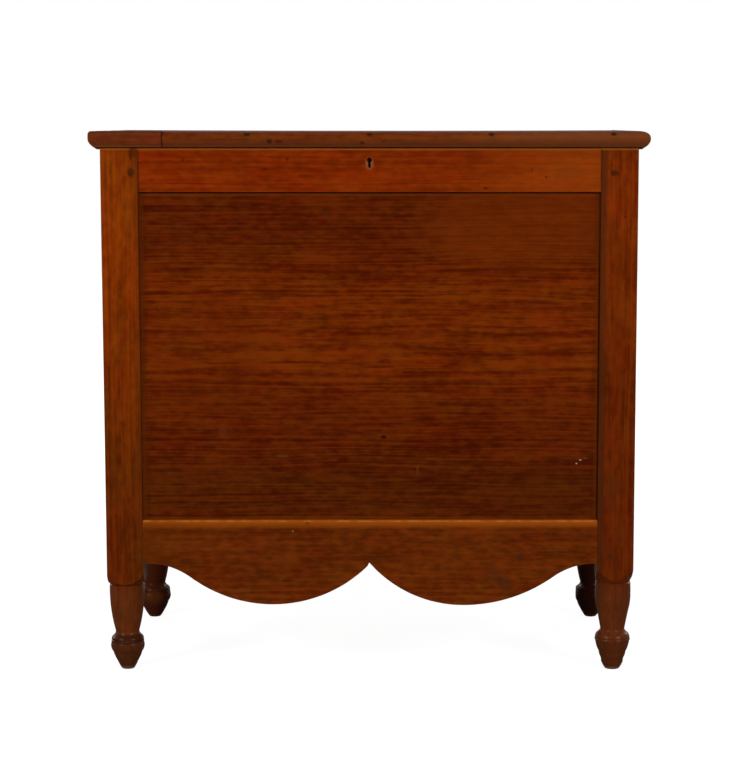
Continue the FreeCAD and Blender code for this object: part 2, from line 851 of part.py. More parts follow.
def cleat_nail_places(side):
    """The heads of the nails through a floor strip."""
    steps = (-1, 0, 1) if side in ("front", "back") else (0,)
    reach = half_span(side) - cell.cleat_nail_inset
    depth = cell.rail_thickness + cell.cleat_section
    up = floor_bottom - cell.cleat_section / 2
    return [at(side, step * reach, depth, up) for step in steps]


OUTWARD = {"front": "-y", "back": "+y", "left": "-x", "right": "+x"}


def cleat_nail(name, side, place, slack=0):
    """A nail through a strip into its rail, or its hole."""
    return nail_form(name, place, OUTWARD[side], cell.cleat_nail_length, slack)


cleat_nails = []
for side in SIDES:
    half = half_span(side) - gap
    node = f"bottom_cleat_{side}"
    strip = side_block(
        side, f"{node}_strip",
        (-half, cell.rail_thickness, floor_bottom - cell.cleat_section),
        (half, cell.rail_thickness + cell.cleat_section, floor_bottom),
    )
    places = cleat_nail_places(side)
    holes = [
        cleat_nail(f"{node}_hole_{index}", side, place, cell.fastener_fit)
        for index, place in enumerate(places)
    ]
    keep(node, cut(f"{node}_cut", strip, holes))
    cleat_nails += [
        cleat_nail(f"cleat_nail_{side}_{index}", side, place)
        for index, place in enumerate(places)
    ]
    rail_node = "apron_front" if side == "front" else f"rail_{side}_bottom"
    rail_holes = [
        cleat_nail(f"{rail_node}_nail_hole_{index}", side, place, cell.fastener_fit)
        for index, place in enumerate(places)
    ]
    bored = cut(f"{rail_node}_bored", parts[rail_node], rail_holes)
    parts[rail_node].Label = f"{rail_node}_unbored"
    keep(rail_node, bored)
keep("cleat_nails", group("cleat_nails_group", cleat_nails))

# Divider and the grooved strips that hold it
divider_top = case_top - cell.divider_drop
strip_face = cell.rail_thickness + cell.divider_cleat_thickness
groove_floor = strip_face - cell.divider_groove
fit = cell.divider_fit
half_divider = cell.divider_thickness / 2
for side in ("front", "back"):
    node = f"divider_cleat_{side}"
    strip = side_block(
        side, f"{node}_strip",
        (-cell.divider_cleat_width / 2, cell.rail_thickness, floor_top),
        (cell.divider_cleat_width / 2, strip_face, divider_top),
    )
    slot = side_block(
        side, f"{node}_slot",
        (-half_divider - fit, groove_floor, floor_top - cell.overrun),
        (half_divider + fit, strip_face + cell.overrun, divider_top + cell.overrun),
    )
    keep(node, cut(f"{node}_cut", strip, [slot]))
divider_half_depth = half_depth - groove_floor - fit
keep("divider", block(
    "divider_board",
    (-half_divider, -divider_half_depth, floor_top),
    (half_divider, divider_half_depth, divider_top),
))

# Lock
guide_top = case_top - cell.bolt_bar_drop - cell.bolt_fit
guide_width = cell.screw_head_radius * 2
eye_half = cell.eye_thickness / 2
half_eye_width = cell.eye_width / 2


def eye_slots(name, bottom, top, slack):
    """The two slots that the link plate's eyes drop through."""
    return [
        block(
            f"{name}_{end}",
            (end * cell.eye_spacing / 2 - eye_half - slack, lock_middle - half_eye_width - slack, bottom),
            (end * cell.eye_spacing / 2 + eye_half + slack, lock_middle + half_eye_width + slack, top),
        )
        for end in (-1, 1)
    ]


lock_shell = cut("lock_shell", block(
    "lock_shell_block",
    (-half_lock, lock_front, lock_bottom),
    (half_lock, rail_inner, lock_top_bottom),
), [block(
    "lock_shell_hollow",
    (-half_lock + cell.lock_plate, lock_front + cell.lock_plate, lock_bottom + cell.lock_plate),
    (half_lock - cell.lock_plate, rail_inner + cell.overrun, lock_top_bottom + cell.overrun),
)])
lock_top = block(
    "lock_top_plate",
    (-half_lock_top, lock_front, lock_top_bottom),
    (half_lock_top, rail_inner, case_top),
)
lock_guides = [
    block(
        f"lock_guide_{end}",
        (end * (half_lock - cell.lock_plate), lock_front + cell.lock_plate,
         guide_top - cell.lock_plate),
        (end * (half_lock - cell.lock_plate - guide_width), rail_inner - cell.lock_plate,
         guide_top),
    )
    for end in (-1, 1)
]
lock_body = fused("lock_body", [lock_shell, lock_top, *lock_guides])
keep("lock_case", cut("lock_case_cut", lock_body, [
    keyhole_form("lock_keyhole", lock_front - cell.overrun, lock_front + cell.lock_plate * 2),
    *eye_slots("lock_eye_slot", lock_top_bottom - cell.overrun, case_top + cell.overrun, cell.eye_fit),
    *[
        screw_hole(f"lock_case_hole_{index}", place, "-y")
        for index, place in enumerate(lock_screw_places())
    ],
]))
cap_plate = block(
    "lock_cap_plate",
    (-half_lock + cell.lock_plate, rail_inner - cell.lock_plate, lock_bottom + cell.lock_plate),
    (half_lock - cell.lock_plate, rail_inner, lock_top_bottom),
)
keep("lock_cap", cut("lock_cap_cut", cap_plate, [
    screw_form(f"lock_cap_hole_{index}", place, "-y", cell.fastener_fit)
    for index, place in enumerate(lock_screw_places())
]))
keep("lock_screws", group("lock_screws_group", [
    screw_form(f"lock_screw_{index}", place, "-y")
    for index, place in enumerate(lock_screw_places())
]))
keep("lock_key_pin", rod(
    "lock_key_pin_rod", (0, rail_inner - cell.lock_plate, key_height), "-y",
    cell.key_pin_radius, cell.lock_depth - 2 * cell.lock_plate,
))

# The bolt is drawn back at rest. Its fingers stand just left of the eyes.
bar_bottom = case_top - cell.bolt_bar_drop
bar_top = bar_bottom + cell.bolt_bar_height
bolt_front = lock_middle - cell.bolt_thickness / 2
bolt_back = lock_middle + cell.bolt_thickness / 2
bar_left = -half_lock + cell.lock_plate + cell.bolt_end_room
bar_right = half_lock - cell.lock_plate - cell.bolt_throw - cell.bolt_end_room
hook_bottom = bar_top + cell.eye_wall + 2 * cell.eye_fit
hook_top = hook_bottom + cell.bolt_hook_height
bolt_pieces = [block(
    "bolt_bar",
    (bar_left, bolt_front, bar_bottom),
    (bar_right, bolt_back, bar_top),
)]
for end in (-1, 1):
    tip = end * cell.eye_spacing / 2 - eye_half - cell.eye_fit
    root = tip - cell.bolt_hook_length
    bolt_pieces.append(block(
        f"bolt_finger_{end}", (root, bolt_front, hook_bottom), (tip, bolt_back, hook_top)))
    bolt_pieces.append(block(
        f"bolt_upright_{end}", (root - cell.bolt_upright, bolt_front, bar_top),
        (root, bolt_back, hook_top)))
    inner = end * cell.talon_gap / 2
    bolt_pieces.append(block(
        f"bolt_talon_{end}", (inner, bolt_front, bar_bottom - cell.talon_height),
        (inner + end * cell.talon_width, bolt_back, bar_bottom)))
keep("lock_bolt", fused("lock_bolt_solid", bolt_pieces))

spring_left = -half_lock + cell.lock_plate
spring_bottom = bar_top + cell.bolt_fit
keep("lock_spring", fused("lock_spring_solid", [
    block(
        "spring_leaf",
        (spring_left, bolt_front, spring_bottom),
        (spring_left + cell.spring_reach, bolt_back, spring_bottom + cell.spring_thickness),
    ),
    block(
        "spring_foot",
        (spring_left, bolt_front, spring_bottom),
        (spring_left + cell.spring_thickness, bolt_back, lock_top_bottom),
    ),
]))


# Hinges
def knuckle_spans(end, first):
    """Every second knuckle of a hinge, as the two ends of each."""
    left = hinge_middle(end) - half_hinge
    pitch = cell.hinge_length / KNUCKLES
    return [
        (left + index * pitch + cell.knuckle_gap / 2, left + (index + 1) * pitch - cell.knuckle_gap / 2)
        for index in range(first, KNUCKLES, 2)
    ]


def leaf(node, end, first, low, high, screws, along):
    """One leaf of a butt hinge: a plate with countersinks, webs and bored knuckles."""
    middle = hinge_middle(end)
    pieces = [block(
        f"{node}_plate",
        (middle - half_hinge, leaf_inner, low),
        (middle + half_hinge, leaf_edge, high),
    )]
    for index, (start, stop) in enumerate(knuckle_spans(end, first)):
        pieces.append(block(
            f"{node}_web_{index}", (start, leaf_edge - cell.overrun, low), (stop, hinge_y, high)))
        pieces.append(rod(
            f"{node}_knuckle_{index}", (start, hinge_y, hinge_z), "+x",
            cell.barrel_radius, stop - start))
    bore = rod(
        f"{node}_bore", (middle - half_hinge - cell.overrun, hinge_y, hinge_z), "+x",
        cell.hinge_pin_radius + cell.pin_clearance, cell.hinge_length + 2 * cell.overrun)
    countersinks = [
        screw_form(f"{node}_countersink_{index}", place, along, cell.fastener_fit)
        for index, place in enumerate(screws)
    ]
    keep(node, cut(f"{node}_cut", fused(f"{node}_stock", pieces), [bore, *countersinks]))


pins = []
case_screws = []
lid_screws = []
for name, end in HINGES:
    on_case = hinge_screw_places(end, case_top)
    on_lid = hinge_screw_places(end, lid_bottom)
    leaf(f"hinge_{name}_case_leaf", end, 0, case_top - cell.leaf_thickness, case_top, on_case, "-z")
    leaf(f"hinge_{name}_lid_leaf", end, 1, lid_bottom, lid_bottom + cell.leaf_thickness, on_lid, "+z")
    pins.append(rod(
        f"hinge_pin_{name}", (hinge_middle(end) - half_hinge, hinge_y, hinge_z), "+x",
        cell.hinge_pin_radius, cell.hinge_length))
    for index, (low_place, high_place) in enumerate(zip(on_case, on_lid)):
        case_screws.append(screw_form(f"case_screw_{name}_{index}", low_place, "-z"))
        lid_screws.append(screw_form(f"lid_screw_{name}_{index}", high_place, "+z"))
keep("hinge_pins", group("hinge_pins_group", pins))
keep("hinge_case_screws", group("hinge_case_screws_group", case_screws))
keep("hinge_lid_screws", group("hinge_lid_screws_group", lid_screws))

# Lid
lid_half_width = half_width + cell.lid_overhang
lid_half_depth = half_depth + cell.lid_overhang
board_half_width = half_width + cell.lid_board_reach
board_front = -half_depth - cell.lid_board_reach
moulding_width = cell.lid_overhang - cell.lid_board_reach
nail_level = lid_bottom + cell.mould_nail_rise


def mould_nails(side, name, slack=0):
    """The nails of one length of moulding, or their holes.

    The separate left end of the front moulding is glued on and has none.
    """
    if side == "front":
        pitch = (lid_half_width - cell.mould_nail_inset) / 2
        places = [(step * pitch, -lid_half_depth, nail_level) for step in (-1, 0, 1, 2)]
    else:
        reach = lid_half_width if side == "right" else -lid_half_width
        pitch = lid_half_depth - cell.side_nail_inset
        places = [(reach, step * pitch, nail_level) for step in (-1, 0, 1)]
    return [
        nail_form(f"{name}_{index}", place, INWARD[side], cell.mould_nail_length, slack,
                  cell.mould_nail_set)
        for index, place in enumerate(places)
    ]


def link_screw_places():
    """The heads of the two screws that hold the link plate."""
    return [(end * cell.link_screw_spacing / 2, lock_middle, lid_bottom) for end in (-1, 1)]


half_link = cell.link_length / 2
half_link_width = cell.link_width / 2
link_recess = block(
    "link_recess",
    (-half_link, lock_middle - half_link_width, lid_bottom - cell.overrun),
    (half_link, lock_middle + half_link_width, lid_bottom + cell.link_thickness),
)
keep("lid_board_front", cut(
    "lid_board_front_cut",
    block("lid_board_front_stock", (-board_half_width, board_front, lid_bottom),
          (board_half_width, 0, lid_top)),
    [
        link_recess,
        *[
            screw_hole(f"link_screw_hole_{index}", place, "+z")
            for index, place in enumerate(link_screw_places())
        ],
        *mould_nails("front", "board_nail_hole_front", cell.fastener_fit),
        *[
            hole for side in ("left", "right")
            for hole in mould_nails(side, f"board_nail_hole_{side}", cell.fastener_fit)[:2]
        ],
    ],
))
barrel_room = cell.barrel_radius + cell.barrel_room
lid_hinge_cuts = []
for name, end in HINGES:
    middle = hinge_middle(end)
    low_x = middle - half_hinge - cell.joint_fit
    high_x = middle + half_hinge + cell.joint_fit
    lid_hinge_cuts.append(block(
        f"lid_leaf_recess_{name}",
        (low_x, leaf_inner - cell.joint_fit, lid_bottom - cell.overrun),
        (high_x, hinge_y, lid_bottom + cell.leaf_thickness)))
    lid_hinge_cuts.append(block(
        f"lid_barrel_notch_{name}",
        (low_x, hinge_y - barrel_room, lid_bottom - cell.overrun),
        (high_x, hinge_y + barrel_room, hinge_z + barrel_room)))
keep("lid_board_back", cut(
    "lid_board_back_cut",
    block("lid_board_back_stock", (-board_half_width, 0, lid_bottom),
          (board_half_width, lid_half_depth, lid_top)),
    [
        *lid_hinge_cuts,
        *[
            screw_hole(f"lid_screw_hole_{name}_{index}", place, "+z")
            for name, end in HINGES
            for index, place in enumerate(hinge_screw_places(end, lid_bottom))
        ],
        *[
            hole for side in ("left", "right")
            for hole in mould_nails(side, f"back_nail_hole_{side}", cell.fastener_fit)[1:]
        ],
    ],
))


def moulding_section(inner, outward, drop):
    """The moulding's section: a slope from its foot up to a belly and a rounded top.

    inner is the board's edge, outward is 1 or -1, and drop is how far the foot lies below
    the lid's underside.
    """
    foot = MOULDING_FOOT_SHARE * cell.lid_thickness
    belly_share, belly_height, _ = MOULDING_SHARES[0]
    slope_run = belly_share * moulding_width
    slope_rise = belly_height * cell.lid_thickness + foot
    toe = slope_run * (foot - drop) / slope_rise
    corners = [
        (inner, lid_bottom - drop, 0),
        (inner + outward * toe, lid_bottom - drop, 0),
    ]
    for out_share, up_share, bow_share in MOULDING_SHARES:
        corners.append((
            inner + outward * out_share * moulding_width,
            lid_bottom + up_share * cell.lid_thickness,
            outward * bow_share * moulding_width,
        ))
    corners.append((inner, lid_top, 0))
    return corners


def plan_prism(name, corners):
    """An upright prism over a plan, tall enough to take in the lid's edge."""
    return padded(
        name, "XY_Plane", [(x, y, 0) for x, y in corners],
        cell.lid_thickness + cell.side_lip + 2 * cell.overrun,
        lid_bottom - cell.side_lip - cell.overrun,
    )


def common(name, first, second):
    """What two solids share."""
    result = doc.addObject("Part::Common", name)
    result.Base = first
    result.Tool = second
    return result


front_section = moulding_section(board_front, -1, -cell.front_moulding_lift)
front_strip = padded(
    "front_moulding_strip", "YZ_Plane", front_section, 2 * lid_half_width, -lid_half_width)
seam = -lid_half_width + cell.patch_length
front_plans = {
    "lid_moulding_patch": (
        (-lid_half_width, -lid_half_depth), (seam, -lid_half_depth),
        (seam, board_front), (-board_half_width, board_front),
    ),
    "lid_moulding_front": (
        (seam, -lid_half_depth), (lid_half_width, -lid_half_depth),
        (board_half_width, board_front), (seam, board_front),
    ),
}
for node, plan in front_plans.items():
    keep(node, common(f"{node}_length", front_strip, plan_prism(f"{node}_plan", plan)))
keep("lid_moulding_front", cut(
    "lid_moulding_front_cut", parts["lid_moulding_front"],
    mould_nails("front", "front_moulding_hole", cell.fastener_fit)))

for side, outward in (("left", -1), ("right", 1)):
    node = f"lid_moulding_{side}"
    section = moulding_section(outward * board_half_width, outward, cell.side_lip)
    strip = padded(f"{node}_strip", "XZ_Plane", section, 2 * lid_half_depth, -lid_half_depth)
    inner = outward * board_half_width
    outer = outward * lid_half_width
    plan = (
        (outer, -lid_half_depth), (outer, lid_half_depth), (inner, lid_half_depth),
        (inner, board_front),
    )
    length = common(f"{node}_length", strip, plan_prism(f"{node}_plan", plan))
    holes = mould_nails(side, f"{node}_hole", cell.fastener_fit)
    keep(node, cut(f"{node}_cut", length, holes))

keep("moulding_nails", group("moulding_nails_group", [
    nail for side in ("front", "left", "right") for nail in mould_nails(side, f"mould_nail_{side}")
]))

# Link plate on the lid, with the two eyes that the bolt's fingers enter
eye_bottom = bar_top + cell.eye_fit
eye_hole_bottom = hook_bottom - cell.eye_fit
eye_hole_top = hook_top + cell.eye_fit / 2
link_stock = fused("link_stock", [
    block(
        "link_plate_strip",
        (-half_link, lock_middle - half_link_width, lid_bottom),
        (half_link, lock_middle + half_link_width, lid_bottom + cell.link_thickness),
    ),
    *eye_slots("link_eye", eye_bottom, lid_bottom, 0),
])
eye_hole = block(
    "link_eye_hole",
    (-cell.eye_spacing, bolt_front - cell.eye_fit, eye_hole_bottom),
    (cell.eye_spacing, bolt_back + cell.eye_fit, eye_hole_top),
)
keep("lid_link_plate", cut("lid_link_plate_cut", link_stock, [
    eye_hole,
    *[
        screw_form(f"link_countersink_{index}", place, "+z", cell.fastener_fit)
        for index, place in enumerate(link_screw_places())
    ],
]))
keep("link_screws", group("link_screws_group", [
    screw_form(f"link_screw_{index}", place, "+z")
    for index, place in enumerate(link_screw_places())
]))

# Build, check and write
doc.recompute()
faults = [item.Name for item in doc.Objects if "Invalid" in item.State or "Error" in item.State]
if faults:
    raise RuntimeError(f"failed objects: {faults}")
for node, item in parts.items():
    if item.Shape.isNull() or not item.Shape.isValid():
        raise RuntimeError(f"{node} has no valid shape")
os.makedirs("parts", exist_ok=True)
for node, item in parts.items():
    item.Shape.exportStep(f"parts/{node}.step")
    print(f"{node}: {len(item.Shape.Solids)} solid(s), {item.Shape.Volume / 1000:.1f} cm3")
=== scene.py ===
# %% [markdown]
# Sugar chest.
# When sugar was dear it was kept under lock in a small chest on turned feet. This one is
# frame and panel work in cherry: four posts, rails between them, thin panels in grooves,
# an apron sawn to two lobes, and a lid with a moulded edge. The measured pieces come from
# the frame, which is loaded first and never moved. Everything below dresses them.

# %% Load the frame
import json
import math
import random

import bmesh
import bpy
from mathutils import Matrix, Vector, noise


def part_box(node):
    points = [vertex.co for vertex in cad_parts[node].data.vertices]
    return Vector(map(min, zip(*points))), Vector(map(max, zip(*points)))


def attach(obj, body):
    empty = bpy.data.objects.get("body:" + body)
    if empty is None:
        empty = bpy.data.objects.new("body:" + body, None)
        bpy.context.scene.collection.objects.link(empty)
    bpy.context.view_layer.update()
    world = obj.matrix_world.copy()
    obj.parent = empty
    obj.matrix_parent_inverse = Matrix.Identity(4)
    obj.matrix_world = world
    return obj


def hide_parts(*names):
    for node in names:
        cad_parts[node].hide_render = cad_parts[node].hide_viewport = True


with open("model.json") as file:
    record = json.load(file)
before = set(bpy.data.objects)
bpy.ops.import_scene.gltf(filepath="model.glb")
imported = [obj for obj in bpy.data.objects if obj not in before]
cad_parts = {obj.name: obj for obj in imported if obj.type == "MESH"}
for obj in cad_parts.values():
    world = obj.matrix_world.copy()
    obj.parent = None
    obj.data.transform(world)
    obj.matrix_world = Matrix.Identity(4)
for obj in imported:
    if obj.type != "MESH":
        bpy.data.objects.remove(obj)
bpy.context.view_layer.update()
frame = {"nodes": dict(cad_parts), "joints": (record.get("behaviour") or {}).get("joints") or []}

MM = 0.001

# %% [markdown]
# The lines of the chest. Every board is placed from the boxes of the frame's pieces, so
# nothing has to be fitted by eye. The posts give the outside, the rails give the opening.

# %% Read the main lines from the frame
post_low, post_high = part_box("post_front_left")
POST_WIDTH = post_high.x - post_low.x
HALF_WIDTH = -post_low.x
HALF_DEPTH = -post_low.y
CASE_TOP = post_high.z
RAIL_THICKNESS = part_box("rail_back_top")[1].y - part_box("rail_back_top")[0].y
OPENING_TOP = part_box("rail_back_top")[0].z
OPENING_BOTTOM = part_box("rail_back_bottom")[1].z
RAIL_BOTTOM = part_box("rail_back_bottom")[0].z
SPAN_X = HALF_WIDTH - POST_WIDTH
SPAN_Y = HALF_DEPTH - POST_WIDTH
hinge = [joint for joint in frame["joints"] if joint["name"] == "lid_hinge"][0]
HINGE_LINE = Vector(hinge["pos_m"])
print("case top", round(CASE_TOP, 4), "opening", round(OPENING_BOTTOM, 4), round(OPENING_TOP, 4))

# %% [markdown]
# The camera stands a little right of the chest's middle, at the height of the lid, and
# looks down by seven degrees. Its place was worked out from the photograph's outlines: the
# focal length is given in pixels of the picture, and so is the point that it looks at.

# %% Camera
IMAGE_WIDTH = 750
FOCAL_PIXELS = 2145
AIM_PIXELS_RIGHT = 26
AIM_PIXELS_DOWN = 265
CAMERA_PLACE = Vector((0.0506, -3.6764, 0.9012))
CAMERA_DIP = math.atan(AIM_PIXELS_DOWN / FOCAL_PIXELS)

camera_data = bpy.data.cameras.new("camera")
camera_data.sensor_fit = "HORIZONTAL"
camera_data.sensor_width = 36
camera_data.lens = camera_data.sensor_width * FOCAL_PIXELS / IMAGE_WIDTH
camera_data.shift_x = -AIM_PIXELS_RIGHT / IMAGE_WIDTH
camera_data.clip_end = 50
camera = bpy.data.objects.new("camera", camera_data)
camera.location = CAMERA_PLACE
camera.rotation_euler = (math.pi / 2 - CAMERA_DIP, 0, 0)
bpy.context.scene.collection.objects.link(camera)
bpy.context.scene.camera = camera
print("lens", round(camera_data.lens, 1), "mm")

# %% [markdown]
# Colours are written as they would be picked from a picture, as sRGB hex. The shader works
# with linear light, so one function turns them. Another adds a node: its settings are
# keywords, and its inputs a dictionary of values, hex colours, sockets and other nodes. Two
# kinds of node come back again and again. MapRange turns a stretch of one number softly
# into a stretch of another: input 0 is the number, 1 and 2 are the ends of its stretch, 3
# and 4 those of the other, and those left out are 0 and 1. Mix blends two colours: input 0
# is the amount, 6 and 7 are the colours. SOFT and COLOURS hold what is always set on them.

# %% Colour and node helpers
SOFT = {"interpolation_type": "SMOOTHSTEP"}
COLOURS = {"data_type": "RGBA"}


def linear(code):
    """An sRGB hex colour as linear red, green, blue and alpha."""
    channels = []
    for start in (1, 3, 5):
        value = int(code[start:start + 2], 16) / 255
        channels.append(value / 12.92 if value <= 0.04045 else ((value + 0.055) / 1.055) ** 2.4)
    return (*channels, 1)


def put(tree, kind, inputs=None, **settings):
    """Adds a node, sets it up and links it. Of another node it takes the first live output."""
    node = tree.nodes.new("ShaderNode" + kind)
    for key, value in settings.items():
        setattr(node, key, value)
    for socket, value in (inputs or {}).items():
        if isinstance(value, str):
            value = linear(value)
        if isinstance(value, bpy.types.Node):
            value = [output for output in value.outputs if output.enabled][0]
        if isinstance(value, bpy.types.NodeSocket):
            tree.links.new(value, node.inputs[socket])
        else:
            node.inputs[socket].default_value = value
    return node


def fresh(name):
    """A material with an empty node tree."""
    material = bpy.data.materials.new(name)
    material.use_nodes = True
    material.node_tree.nodes.clear()
    return material, material.node_tree


def surface(tree, relief, inputs):
    """Ends a material: a Principled shader with its inputs, and a fine relief on it."""
    bump = put(tree, "Bump", relief)
    shader = put(tree, "BsdfPrincipled", {**inputs, "Normal": bump})
    put(tree, "OutputMaterial", {"Surface": shader})


print("sample colour", [round(channel, 3) for channel in linear("#5A1E03")])

# %% [markdown]
# Cherry under old varnish. A board is a cut out of a log, and its figure is where the
# growth rings meet its face. So the pattern is made the same way: a Mapping node turns the
# board so that the grain runs along X and shifts it to its own place beside the pith, and
# the distance from that line is the age of the wood there. One-dimensional noise along this
# distance gives rings of uneven width. A slow noise bends them, so that they run in long
# flat arches where the face is nearly tangent to them. Other noises are stretched along
# the grain: fibres, broad streaks and the cloudy darkening of old shellac. Two numbers are
# painted on the faces of each piece: "worn" for rubbed arrises and "raw" for faces
# that never had varnish.

# %% Wood
GRAIN_TURN = {
    "x": (0, 0, 0),
    "y": (0, 0, -math.pi / 2),
    "z": (0, math.pi / 2, 0),
}
RING_BEND = 5 * MM
BEND_SIZE = Vector((420, 60, 60)) * MM
FIBRE_SIZE = Vector((60, 2.6, 2.6)) * MM
STREAK_SIZE = Vector((190, 8, 8)) * MM
CLOUD_SIZE = Vector((140, 55, 55)) * MM
FLECK_SIZE = Vector((18, 8, 8)) * MM
WARMTH_SIZE = Vector((75, 22, 22)) * MM
PORE_SIZE = Vector((6, 0.9, 0.9)) * MM
# A noise keeps near its middle, so it is stretched to run from about -1 to 1.
STRETCH = {1: 3.2, 2: -1.6}


def grain_space(tree, grain, pith):
    """Object coordinates, and the same beside the pith with the grain along X."""
    place = put(tree, "TexCoord").outputs["Object"]
    board = put(tree, "Mapping", {"Vector": place, "Location": pith, "Rotation": GRAIN_TURN[grain]})
    return place, board


def grain_noise(tree, board, size, detail=2.0, roughness=0.55):
    """Noise from about -1 to 1, whose patches have a size along and across the grain."""
    scaled = put(tree, "Mapping", {"Vector": board, "Scale": [1 / length for length in size]})
    value = put(tree, "TexNoise", {
        "Vector": scaled, "Scale": 1.0, "Detail": detail, "Roughness": roughness})
    return put(tree, "Math", {0: value, **STRETCH}, operation="MULTIPLY_ADD")


def weighted(tree, parts, total):
    """A number plus several outputs, each times its weight."""
    for output, weight in parts:
        total = put(tree, "Math", {0: output, 1: weight, 2: total}, operation="MULTIPLY_ADD")
    return total


print("finest grain", round(min(PORE_SIZE) / MM, 1), "mm, broadest", round(max(BEND_SIZE) / MM), "mm")

# %% [markdown]
# Hands, dirt and fading change a board from place to place, and some tints are painted light
# and shade. tint_steps() lays a soft tint over one side of a piece, such as the painted shade
# on the foot of a post or the worn and highlighted edge of a rail.
# mark_steps() paints a soft spot of any length, height and depth, such as a dent or a crack,
# and a noise pushes its outline about so that it doesn't look stamped.

# %% Tints and marks
# How far a mark's outline wobbles and at what pitch, and how much of the mark keeps its full
# strength.
MARK_WOBBLE = 2 * MM
MARK_PITCH = 11.11 * MM
MARK_CORE = 0.45


def tint_steps(tree, place, colour, tints, mode="MIX"):
    """Lays soft tints over a colour.

    Each is its axis, where it starts, where it is full, hex and strength."""
    if not tints:
        return colour
    split = put(tree, "SeparateXYZ", {0: place})
    for axis, start, full, code, strength in tints:
        ends = {1: start, 2: full, 4: strength}
        if start > full:
            ends = {1: full, 2: start, 3: strength, 4: 0.0}
        amount = put(tree, "MapRange", {0: split.outputs[axis], **ends}, **SOFT)
        colour = put(tree, "Mix", {0: amount, 6: colour, 7: code}, blend_type=mode, **COLOURS)
    return colour


def mark_steps(tree, place, colour, marks):
    """Paints small marks. Each is its middle, its half sizes, hex and strength."""
    if not marks:
        return colour
    wobble = put(tree, "TexNoise", {"Vector": place, "Scale": 1 / MARK_PITCH, "Detail": 2.0})
    shift = put(tree, "VectorMath", {
        0: wobble.outputs["Color"],
        1: (2 * MARK_WOBBLE,) * 3,
        2: (-MARK_WOBBLE,) * 3,
    }, operation="MULTIPLY_ADD")
    place = put(tree, "VectorMath", {0: place, 1: shift}, operation="ADD")
    for middle, half, code, strength in marks:
        turned = put(tree, "Mapping", {
            "Vector": place,
            "Location": [-where / size for where, size in zip(middle, half)],
            "Scale": [1 / size for size in half],
        })
        away = put(tree, "VectorMath", {0: turned}, operation="LENGTH")
        amount = put(tree, "MapRange", {0: away, 1: MARK_CORE, 3: strength, 4: 0.0}, **SOFT)
        colour = put(tree, "Mix", {0: amount, 6: colour, 7: code}, **COLOURS)
    return colour


print("a mark is full to", MARK_CORE, "of its size")

# %% [markdown]
# The finish is built up in the order in which it came about: the figure of the wood, the
# varnish over it, dirt in the pores, tints and marks, then what was rubbed off, and last the
# faces that stayed bare. The cloudy noise that darkens the varnish also dulls it.

# %% Varnished cherry
# The IOR of shellac and of dry wood.
WOOD_IOR = 1.5
# The roughness of kept varnish, of varnish that hands and cloths have dulled, and of raw wood.
SATIN = (0.2, 0.28)
DULL = (0.46, 0.58)
RAW_ROUGHNESS = 0.75
# Varnish where it has gone red and where gold, dirt in the pores, and raw wood gone brown.
VARNISH = ("#FFDAF0", "#F4FFF0")
PORE_DIRT = "#2A0E04"
BARE = ("#5C3D26", "#775132")
# The size of the patches in which an arris is rubbed through.
WORN_PATCH = 14.286 * MM
# How much each noise counts in the figure of a plain board.
FIGURE = {"rings": 0.2, "fibres": 0.18, "streaks": 0.28, "clouds": 0.22, "flecks": 0.26}


